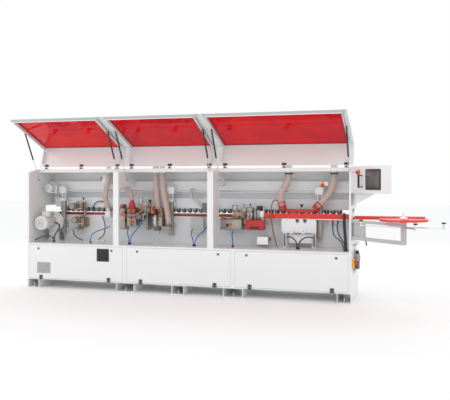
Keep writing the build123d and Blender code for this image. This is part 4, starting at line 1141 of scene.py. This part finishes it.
# %% Glue pot and pressure zone
glue = Work()
glue.use("red paint").box(742, 958, -160, -60, 737, 845, 8).box(752, 948, -150, -70, 845, 850, 2)
glue.use("black plastic").box(796, 904, -162, -158, 752, 778, 2)
glue.use("cast aluminium").box(790, 930, -60, 60, 745, 830, 4).box(800, 900, 60, 110, 750, 820, 2)
glue.use("black plastic").box(840, 898, -30, 56, 959, 1005, 5)
glue.use("cast aluminium").box(842, 876, -26, 52, 845, 957, 3)
glue.use("white plastic").box(880, 925, -40, 40, 877, 946, 4)
glue.use("cast aluminium").box(882, 923, -36, 36, 848, 876, 3)
glue.use("chrome").bar((915, 0, 946), (915, 0, 1003), 6).bar((905, 20, 946), (905, 20, 985), 5)
glue.use("white plastic").box(876, 1004, -150, -142, 574, 661, 2)
glue.use("black plastic").box(884, 996, -149, -110, 566, 590, 4).box(896, 980, -142, -66, 600, 652, 6)
glue.use("grey plastic").box(900, 980, -64, 110, 604, 638, 2)
glue.use("brushed steel")
for x in (760, 940):
    glue.bar((x, -110, 845), (x, -110, 872), 7)
bolts(glue, [(752, 746), (948, 746), (752, 836), (948, 836)], -160, 5)
glue.piece("glue_pot_casting", "machine", "glue_pot")

zone = Work()
zone.use("cast aluminium").box(411, 669, -60, 98, 727, 845, 5)
zone.use("bronze casting").box(416, 470, -62, 6, 846, 862, 2).box(500, 668, -58, 6, 846, 858, 2)
zone.box(560, 632, -48, 6, 862, 956, 5).box(640, 700, -42, 4, 866, 950, 4)
zone.box(672, 786, -20, 30, 846, 867, 2).box(669, 786, -18, 96, 792, 843, 3)
zone.use("cast aluminium").box(666, 722, -48, 28, 936, 990, 5).box(728, 794, -46, 28, 938, 986, 5)
zone.use("brushed steel").turned(
    (577, -20, 956), UP, [(0, 32), (6, 32), (8, 28), (44, 28), (48, 33), (56, 33), (60, 24),
    (60, 0)], 28)
cone_knob(zone, 764, -20, 986, 11, 44)
cone_knob(zone, 690, -20, 990, 10, 32)
slide_pair(zone, 560, 665, -52, 900, 5, 22)
zone.use("chrome").bar((600, -40, 960), (600, -40, 1000), 4).bar((640, -30, 950), (640, -30, 990), 4)
for x in (690, 730, 768):
    zone.use("brushed steel").turned(
        (x, 12, 868), UP, [(0, 17), (3, 17), (5, 15), (60, 15), (62, 17), (67, 17), (67, 0)], 24)
hand_knob(zone, 452, -72, 872, 18, 20)
hand_knob(zone, 540, -70, 790, 16, 18)
hand_knob(zone, 598, -58, 905, 12, 14)
zone.use("black plastic").box(425, 455, -56, -10, 862, 900, 4).box(488, 512, -66, -58, 760, 800, 2)
bolts(zone, [(424, 740), (656, 740), (424, 832), (656, 832), (540, 740), (540, 832)], -60)
zone.piece("pressure_zone", "machine", "roller_unit")

# %% [markdown]
# ## Milling unit
#
# The milling unit at the infeed trues the board's edge before it is glued. It sits behind a white plate
# with two motors below, and a red hood above with a sleeve for a hose at each end. The hood is one flat
# plate cut to an outline, because its sides are slanted.

# %% Milling unit
mill = Work()
mill.use("white paint").box(1136, 1533, -50, -32, 708, 866, 3)
mill.use("inner white paint").box(1160, 1510, -32, 60, 770, 800, 2).box(1200, 1470, 60, 110, 770, 800, 2)
mill.box(1160, 1198, -60, -12, 540.5, 708, 3).box(1490, 1528, -60, -12, 540.5, 708, 3)
mill.use("dark steel").box(1166, 1186, -64, -60, 560, 700, 1.5).box(1500, 1520, -64, -60, 560, 700, 1.5)
mill.use("white paint").box(1215, 1480, -14, -8, 590, 700, 1.5)
motor(mill, (1265, 45, 600), (1265, 45, 770), 44, "cast aluminium", 18, 44)
motor(mill, (1405, 45, 600), (1405, 45, 770), 44, "cast aluminium", 18, 44)
for x in (1250, 1388):
    mill.use("white plastic").turned(
        (x, -50, 728), FORWARD, [(0, 26), (4, 28), (16, 28), (20, 24), (22, 24), (22, 0)], 28)
    mill.use("grey plastic").turned((x, -72, 728), FORWARD, [(0, 8), (2.5, 7), (2.5, 0)], 16)
for x in (1318, 1404):
    mill.use("black plastic").box(x - 18, x + 18, -58, -48, 840, 862, 2)
    mill.bar((x - 8, -56, 838), (x - 8, -56, 822), 4).bar((x + 8, -56, 838), (x + 8, -56, 822), 4)
mill.use("cast aluminium").box(1296, 1344, -46, -20, 690, 760, 4)
mill.use("orange plastic").box(1310, 1326, -52, -46, 700, 716, 2)
bolts(mill, [(1146, 720), (1146, 852), (1522, 720), (1522, 852), (1200, 852), (1470, 852)], -50, 4)
mill.piece("milling_front", "machine", "premill_unit")

hood = Work()
hood.use("red paint").plate([(1179, -55), (1519, -55), (1500, 60), (1200, 60)], 938, 974, "XY", 3)
hood.box(1190, 1508, -57, -53, 942, 970, 1)
for start, along in (((1134, -42, 1050), (22, -6, -85)), ((1576, -40, 1040), (-70, -6, -75))):
    hood.turned(start, along, [(0, 42), (2, 44), (90, 44), (90, 0)], 32)
    hood.use("brushed steel")
    for reach in (14, 30):
        axis = Vector(along).normalized()
        hood.turned(Vector(start) + axis * reach, axis, [(0, 44), (1, 46), (7, 46), (8, 44)], 32)
    hood.use("red paint")
cone_knob(hood, 1362, -20, 974, 19, 56)
hood.piece("milling_hood", "machine", "premill_hood")

# %% [markdown]
# ## Infeed: fence and coil tray
#
# A red fence guides the board. Outside, a round tray on a white stand, darkened to grey as painted
# shade, holds the coil of edging tape, with arms that end in star knobs. The tray is one turned part that
# rides on its own spindle.

# %% Infeed pieces
fence = Work().use("fence red")
fence.box(930, 1930, -31, -13, 868, 926, 2).box(1600, 2697, 6, 92, 868, 906, 3)
fence.box(1600, 1640, -13, 6, 868, 906, 2)
fence.use("inner white paint").box(1660, 1880, 60, 110, 800, 868, 2)
fence.use("white plastic").box(1136, 1880, -34, -31, 858, 868, 0.8)
fence.use("dark steel")
for x in range(1660, 2680, 120):
    fence.turned((x, 49, 906), UP, [(0, 5), (0.8, 5), (0.8, 0)], 12)
fence.piece("fence_bars", "machine", "infeed_fence")

CENTRE = Vector((2499.8, -844.5, 0))
tray = Work().use("fence red")
tray.turned(
    (*CENTRE.xy, 906), UP, [(0, 222), (3, 230), (19, 230), (22, 226), (22, 214), (17, 210),
    (15, 60), (22, 46), (22, 0)], 72)
tray.use("white plastic").turned(
    (*CENTRE.xy, 928), UP, [(0, 42), (6, 42), (14, 34), (20, 16), (26, 12), (26, 0)], 32)
tray.use("chrome").turned((*CENTRE.xy, 950), UP, [(0, 6), (50, 6), (54, 4), (56, 0)], 16)
tray.piece("tape_tray", "coil_tray", "coil_tray")

arms = Work()
for angle, reach in ((0, 366), (-62, 239), (151, 486)):
    turn = math.radians(angle)
    way = Vector((math.cos(turn), math.sin(turn), 0))
    start = CENTRE + way * 30 + Vector((0, 0, 845))
    end = CENTRE + way * reach + Vector((0, 0, 845))
    arms.use("chrome").bar(start, end, 6).bar(end + Vector((0, 0, -12)), end + Vector((0, 0, 41)), 8.5)
    arms.use("black plastic").turned(
        end + Vector((0, 0, 40)), UP, [(0, 8), (3, 14), (6, 17), (14, 16), (17, 9), (17, 0)], 24)
    for k in range(6):
        lobe = 2 * math.pi * k / 6
        spot = end + Vector((16 * math.cos(lobe), 16 * math.sin(lobe), 44))
        arms.bar(spot, spot + Vector((0, 0, 11)), 6, 1.5, 12)
arms.piece("tray_arms", "machine", "coil_arms")

# %% [markdown]
# ## Control box
#
# The control box hangs on the end wall at an angle, with a touch screen, a stop button on a yellow disc
# and a black grab handle. Its parts are laid out flat, where their numbers are easy, and one turn brings
# them to the box's slanted face. The stop button is a piece of its own, because it moves.

# %% Control box
BOX_TURN = Matrix.Translation((1950, -372, 0)) @ Matrix.Rotation(math.radians(-50.3), 4, "Z")
panel = Work()
panel.turn = BOX_TURN
panel.use("white paint").box(2, 538, -1.2, 0.4, 1168, 1443, 1)
panel.use("signal yellow").turned((146, 0, 1382), FORWARD, [(0, 31), (4, 31), (6, 29), (6, 0)], 40)
panel.use("black plastic").box(194, 216, -54, -38, 1222, 1360, 5).box(196, 214, -44, 0, 1225, 1241, 3)
panel.box(196, 214, -44, 0, 1342, 1358, 3)
panel.use("grey plastic")
for x in (28, 44):
    panel.turned((x, 0, 1382), FORWARD, [(0, 6), (2, 6), (2.6, 4), (2.6, 0)], 16)
panel.piece("panel_fittings", "machine")

screen = Work()
screen.turn = BOX_TURN
screen.use("black plastic").box(268, 522, -8.6, 0, 1203, 1412, 5)
screen.use("screen frame").box(274, 516, -9.4, -8, 1209, 1406, 2)
screen.use("screen glass").box(290, 500, -10.2, -9, 1236, 1392, 1)
screen.use("black plastic").box(380, 410, -10.6, -9, 1214, 1224, 1)
screen.piece("screen_bezel", "machine", "touch_screen")

stop = Work()
stop.turn = BOX_TURN
stop.use("red plastic").turned(
    (146, -12.5, 1382), FORWARD, [(0, 12), (10, 12), (12, 19), (16, 20), (21, 18.5), (25, 12),
    (26.2, 0)], 36)
stop.piece("stop_head", "estop_button", "estop_button")

# %% [markdown]
# ## Right-hand end: switch and air service unit
#
# The main switch has a red handle on a yellow plate. Beside it sit the air filter and regulator with
# clear bowl, gauge and fittings. A pull ring stands on the left end.

# %% End fittings
ends = Work()
ends.use("signal yellow").box(1950, 1970, -282, -182, 357, 458, 4)
ends.use("cast aluminium").box(1950, 1962, -110, 20, 300, 520, 3)
ends.box(1962, 2012, -100, -50, 420, 500, 5).box(1962, 2012, -50, 10, 425, 475, 5)
ends.use("dark steel").turned(
    (1987, -75, 330), UP, [(0, 8), (6, 20), (10, 24), (80, 24), (84, 26), (90, 26), (90, 0)], 28)
ends.use("black plastic").turned(
    (1987, -75, 500), UP, [(0, 17), (6, 19), (28, 18), (35, 14), (35, 0)], 28)
ends.use("cast aluminium").turned(
    (1987, -20, 370), UP, [(0, 6), (8, 18), (14, 20), (55, 20), (55, 0)], 28)
ends.use("chrome").turned((1987, -20, 475), UP, [(0, 8), (6, 16), (25, 16), (25, 0)], 24)
ends.use("chrome").bar((1987, 10, 450), (1987, 40, 450), 9).bar((1950, -130, 310), (1964, -130, 310), 22)
ends.use("black plastic").bar((1962, -130, 310), (1965, -130, 310), 13)
ends.use("chrome").ring((-2012, -300, 598), BACK, 20, 4.3)
ends.bar((-1990, -300, 598), (-1950, -300, 598), 4.8)
ends.piece("end_details", "machine", "end_fittings")

switch = Work()
switch.use("red plastic").turned(
    (1970.5, -232, 420), (1, 0, 0), [(0, 22), (2, 24), (6, 24), (7.5, 22), (7.5, 0)], 36)
switch.box(1977, 1994, -238, -226, 396, 444, 3)
switch.piece("switch_handle", "main_switch", "main_switch")

# %% [markdown]
# ## Small things on walls and doors
#
# A machine looks unfinished without its small fittings. Thin dark strips of painted shadow mark where each
# door meets its frame. Inside are a junction box, valves, a stop button above the right jack and black
# collars where the hoses leave the roof; outside are the tape guide, two gauges and a lever.

# %% Seams and small fittings
# Thin dark strips round each door: painted shadow in the gaps between door and frame.
seams = Work().use("seam shadow")
for x0, x1 in ((-1919, -681), (-629, 629), (681, 1919)):
    seams.box(x0 - 4, x0 - 0.6, -373.9, -372.8, 121, 518, 0.3)
    seams.box(x1 + 0.6, x1 + 4, -373.9, -372.8, 121, 518, 0.3)
    seams.box(x0 - 4, x1 + 4, -373.9, -372.8, 518.6, 522, 0.3)
    seams.box(x0 - 4, x1 + 4, -373.9, -372.8, 117, 120, 0.3)
seams.piece("door_seams", "machine")

small = Work().use("white plastic").box(-1169, -1041, 62, 116, 1262, 1377, 4)
small.use("black plastic").bar((-1198, 90, 1331), (-1169, 90, 1331), 11)
small.use("white plastic").box(1562, 1660, 4, 70, 1240, 1281, 4)
small.use("signal yellow").turned((1593, 4, 1256), FORWARD, [(0, 24), (3, 24), (4, 23), (4, 0)], 28)
small.use("red plastic").turned(
    (1593, 0, 1250), (0, -1, -0.5), [(0, 9), (12, 9), (14, 20), (19, 21), (25, 17), (28, 0)], 28)
for x in (-1083, -1022):
    small.use("brushed steel").turned(
        (x, -180, 540.5), UP, [(0, 13), (8, 13), (9, 8), (30, 8), (31, 17), (46, 17), (48, 15),
        (48, 0)], 20)
    small.use("white plastic").box(x - 15, x + 15, -200, -162, 568, 578, 2)
for x, z in ((1213, 1370), (1727, 1370)):
    small.use("black rubber").turned((x, -12, z), UP, [(0, 43.5), (2, 46), (12, 46), (14, 43.5)], 32)
small.piece("inside_fittings", "machine")

outside = Work().use("black plastic").box(1950, 1964, -193, -178, 866, 904, 2)
outside.box(1950, 1958, -193, -184, 955, 992, 2).box(1958, 1968, -193, -176, 984, 992, 2)
outside.use("white plastic").box(1950, 1957, -193, -178, 904, 955, 1.5)
for x, y, z in ((1952, -88, 571), (1985, -100, 620)):
    outside.use("chrome").turned(
        (x, y, z), (0.5, -1, 0), [(0, 8), (6, 20), (20, 22), (24, 22), (26, 19), (26, 0)], 28)
    outside.use("white plastic").turned(
        (x + 12.4, y - 24.6, z), (0.5, -1, 0), [(0, 17), (0.8, 17), (0.8, 0)], 28)
outside.use("brushed steel").bar((1950, -100, 600), (1985, -100, 600), 8)
outside.bar((1950, -88, 540), (1975, -88, 540), 8)
outside.use("black plastic").bar((1950, -100, 655), (2050, -100, 655), 6)
outside.bar((2050, -100, 656), (2080, -100, 640), 6)
outside.bar((2080, -100, 642), (2088, -100, 590), 6.5, 3)
outside.piece("outside_fittings", "machine")

# %% [markdown]
# ## Hoses
#
# Six corrugated hoses hang from the roof, the last a short one to the red cone of the trimming unit. A
# smooth curve is the centre line, and a node tree sweeps a circle along it whose size rises and falls
# with the distance, which makes the ribs. The same wave is stored for the finish, which darkens them.

# %% Hoses
HOSES = (
    (32, [(-1040, -12, 1385), (-1040, -12, 1300), (-1066, -20, 1215), (-1082, -26, 1125),
          (-1068, -30, 1040), (-1042, -32, 962)]),
    (38, [(-415, -12, 1385), (-415, -12, 1290), (-402, -26, 1190), (-386, -36, 1085), (-372, -42, 985)]),
    (38, [(-325, -12, 1385), (-325, -12, 1300), (-310, -34, 1210), (-286, -50, 1110), (-262, -56, 1005),
          (-242, -60, 900), (-226, -64, 805)]),
    (41, [(1213, -12, 1385), (1213, -12, 1300), (1162, -26, 1215), (1112, -36, 1135), (1134, -42, 1050)]),
    (41, [(1727, -12, 1385), (1727, -12, 1295), (1704, -24, 1200), (1646, -34, 1115), (1576, -40, 1040)]),
)
RIB_PITCH = 17.0
RIB_HEIGHT = 1.5
HOSE_INSET = 1.6
STEPS_PER_RIB = 8


def smooth_line(name, routes):
    """A curve with one smooth open spline for each route."""
    curve = bpy.data.curves.new(name, "CURVE")
    curve.dimensions = "3D"
    curve.resolution_u = 12
    for route in routes:
        spline = curve.splines.new("NURBS")
        spline.points.add(len(route) - 1)
        for point, spot in zip(spline.points, route):
            point.co = (*[v * MM for v in spot], 1)
        spline.order_u = 3
        spline.use_endpoint_u = True
    return curve


def hose_tree():
    """Sweep a circle whose radius follows a wave along the line."""
    tree, nodes, link, start = new_tree("corrugated hose", Radius="Float", Rib_pitch="Float",
                                        Rib_height="Float")

    def math_node(operation, first, second=None, third=None):
        """One Math node on links or numbers."""
        made = nodes.new("ShaderNodeMath")
        made.operation = operation
        for socket, value in zip(made.inputs, (first, second, third)):
            if isinstance(value, (int, float)):
                socket.default_value = value
            elif value is not None:
                link(value, socket)
        return made.outputs[0]

    line = nodes.new("GeometryNodeResampleCurve")
    line.mode = "LENGTH"
    pitch = start.outputs["Rib pitch"]
    link(start.outputs["Geometry"], line.inputs["Curve"])
    link(math_node("DIVIDE", pitch, STEPS_PER_RIB), line.inputs["Length"])
    along = nodes.new("GeometryNodeSplineParameter").outputs["Length"]
    turn = math_node("MULTIPLY", math_node("DIVIDE", along, pitch), 2 * math.pi)
    wave = math_node("COSINE", turn)
    store = nodes.new("GeometryNodeStoreNamedAttribute")
    store.inputs["Name"].default_value = "rib"
    link(line.outputs[0], store.inputs["Geometry"])
    link(wave, store.inputs["Value"])
    size = math_node("MULTIPLY_ADD", wave, start.outputs["Rib height"], start.outputs["Radius"])
    outline = nodes.new("GeometryNodeCurvePrimitiveCircle")
    outline.inputs["Resolution"].default_value = 28
    outline.inputs["Radius"].default_value = 1.0
    skin = nodes.new("GeometryNodeCurveToMesh")
    link(store.outputs[0], skin.inputs["Curve"])
    link(outline.outputs[0], skin.inputs["Profile Curve"])
    link(size, skin.inputs["Scale"])
    skin.inputs["Fill Caps"].default_value = True
    return close_tree(tree, start, skin.outputs[0])


SHORT_HOSE = (28, [(-886, -18, 1385), (-884, -20, 1320), (-862, -30, 1240), (-800, -44, 1200),
                   (-735, -56, 1172), (-712, -60, 1120), (-705, -60, 1058)])
RIBS = hose_tree()
for number, (radius, route) in enumerate((*HOSES, SHORT_HOSE), 1):
    settings = {
        "Radius": (radius - HOSE_INSET) * MM,
        "Rib pitch": RIB_PITCH * MM,
        "Rib height": RIB_HEIGHT * MM,
        "Finish": FINISHES["clear hose"],
    }
    mesh = grow(RIBS, settings, smooth_line("hose", [route]))
    mesh.polygons.foreach_set("use_smooth", [True] * len(mesh.polygons))
    linked(f"dust_hose_{number}", mesh, "machine", *(("dust_hoses",) if number == 1 else ()))

# %% [markdown]
# ## Cables, leads and the glue pipe
#
# Cables are plain round curves in black and blue, and the glue pipe is a brown one; each set is one object.
# Most of the cables start at a gland in the floor of the machine. A curve's own bevel gives it thickness,
# and no tree is needed.

# %% Cables
BLACK_CABLES = (
    (8, [(-1690, -200, 560), (-1690, -202, 610), (-1664, -196, 655), (-1638, -175, 695), (-1645, -140, 735),
         (-1675, -130, 765), (-1722, -130, 780)]),
    (6, [(-1525, -20, 684), (-1524, -20, 648), (-1506, -24, 612), (-1464, -36, 586), (-1412, -60, 572),
         (-1360, -88, 560)]),
    (6, [(-1180, 100, 850), (-1172, 82, 834), (-1130, 40, 800), (-1098, 2, 755), (-1085, -24, 700),
         (-1084, -42, 645), (-1104, -66, 605), (-1140, -95, 578)]),
    (7, [(1343, -200, 560), (1343, -203, 600), (1322, -190, 638), (1280, -160, 664), (1236, -118, 672),
         (1205, -80, 660)]),
    (7, [(1360, -200, 560), (1362, -203, 602), (1386, -190, 642), (1428, -160, 668), (1470, -118, 674),
         (1500, -80, 660)]),
    (16, [(1880, -250, 560), (1880, -252, 640), (1872, -240, 715), (1862, -212, 790), (1856, -176, 862),
          (1854, -150, 940)]),
)
BLUE_CABLES = (
    (6, [(-1189, -200, 560), (-1189, -203, 600), (-1176, -196, 642), (-1136, -170, 676), (-1080, -132, 700),
         (-1026, -100, 716), (-985, -90, 742)]),
    (6, [(-670, -220, 560), (-670, -222, 600), (-684, -214, 640), (-712, -180, 676), (-724, -140, 706),
         (-722, -108, 732)]),
    (6, [(-655, -220, 560), (-653, -223, 605), (-632, -214, 655), (-588, -190, 712), (-548, -165, 768),
         (-530, -130, 815)]),
    (6, [(134, -200, 560), (132, -203, 600), (112, -190, 645),
         (84, -150, 682), (72, -100, 706), (74, -52, 728)]),
    (6, [(150, -200, 560), (153, -203, 600), (176, -192, 645), (214, -165, 690), (258, -130, 738),
         (290, -90, 790)]),
    (7, [(600, -180, 560), (600, -182, 602), (594, -176, 645),
         (582, -150, 682), (572, -112, 700), (570, -70, 712)]),
)


def cable_set(name, cables, finish_name, *stands_for):
    """Round cables of several thicknesses, as one mesh."""
    joined = bmesh.new()
    for radius, route in cables:
        curve = smooth_line("cable", [route])
        curve.bevel_depth = radius * MM
        curve.bevel_resolution = 3
        curve.use_fill_caps = True
        holder = bpy.data.objects.new("cable", curve)
        bpy.context.collection.objects.link(holder)
        ready = holder.evaluated_get(bpy.context.evaluated_depsgraph_get())
        joined.from_mesh(bpy.data.meshes.new_from_object(ready))
        bpy.data.objects.remove(holder)
    mesh = bpy.data.meshes.new(name)
    joined.to_mesh(mesh)
    joined.free()
    mesh.materials.append(FINISHES[finish_name])
    mesh.polygons.foreach_set("use_smooth", [True] * len(mesh.polygons))
    linked(name, mesh, "machine", *stands_for)


cable_set("black_cables", BLACK_CABLES, "black cable", "cables")
cable_set("blue_cables", BLUE_CABLES, "blue cable")
WALL_LEADS = (
    (6, [(-1925, -250, 566), (-1838, -250, 604), (-1737, -246, 622),
         (-1690, -232, 604), (-1668, -215, 545)]),
    (6, [(-1319, 96, 950), (-1292, 88, 1010), (-1219, 84, 1042), (-1110, 84, 1026), (-1066, 90, 955)]),
    (6, [(1760, 60, 850), (1752, 10, 790), (1775, -30, 700),
         (1820, -60, 640), (1850, -80, 600), (1852, -90, 545)]),
    (6, [(1700, 60, 850), (1704, 20, 760), (1722, -20, 680),
         (1780, -50, 650), (1830, -70, 600), (1836, -80, 545)]),
)
cable_set("wall_leads", WALL_LEADS, "black cable")
GLUE_PIPE = (
    (7, [(1122, -60, 962), (1114, -62, 1040), (1068, -64, 1090), (1028, -62, 1040), (1020, -60, 950),
         (1022, -58, 850), (1045, -60, 700), (1080, -68, 600), (1085, -72, 545)]),
)
cable_set("glue_pipe", GLUE_PIPE, "brown pipe")
GLAND_TOP = 560
glands = Work()
for radius, route in BLACK_CABLES + BLUE_CABLES:
    x, y, z = route[0]
    if z == GLAND_TOP:
        glands.use("black plastic").turned(
            (x, y, 540.5), UP, [(0, radius + 8), (8, radius + 8), (9, radius + 6),
            (18, radius + 5), (24, radius + 2), (24, 0)], 20)
glands.piece("floor_glands", "machine")
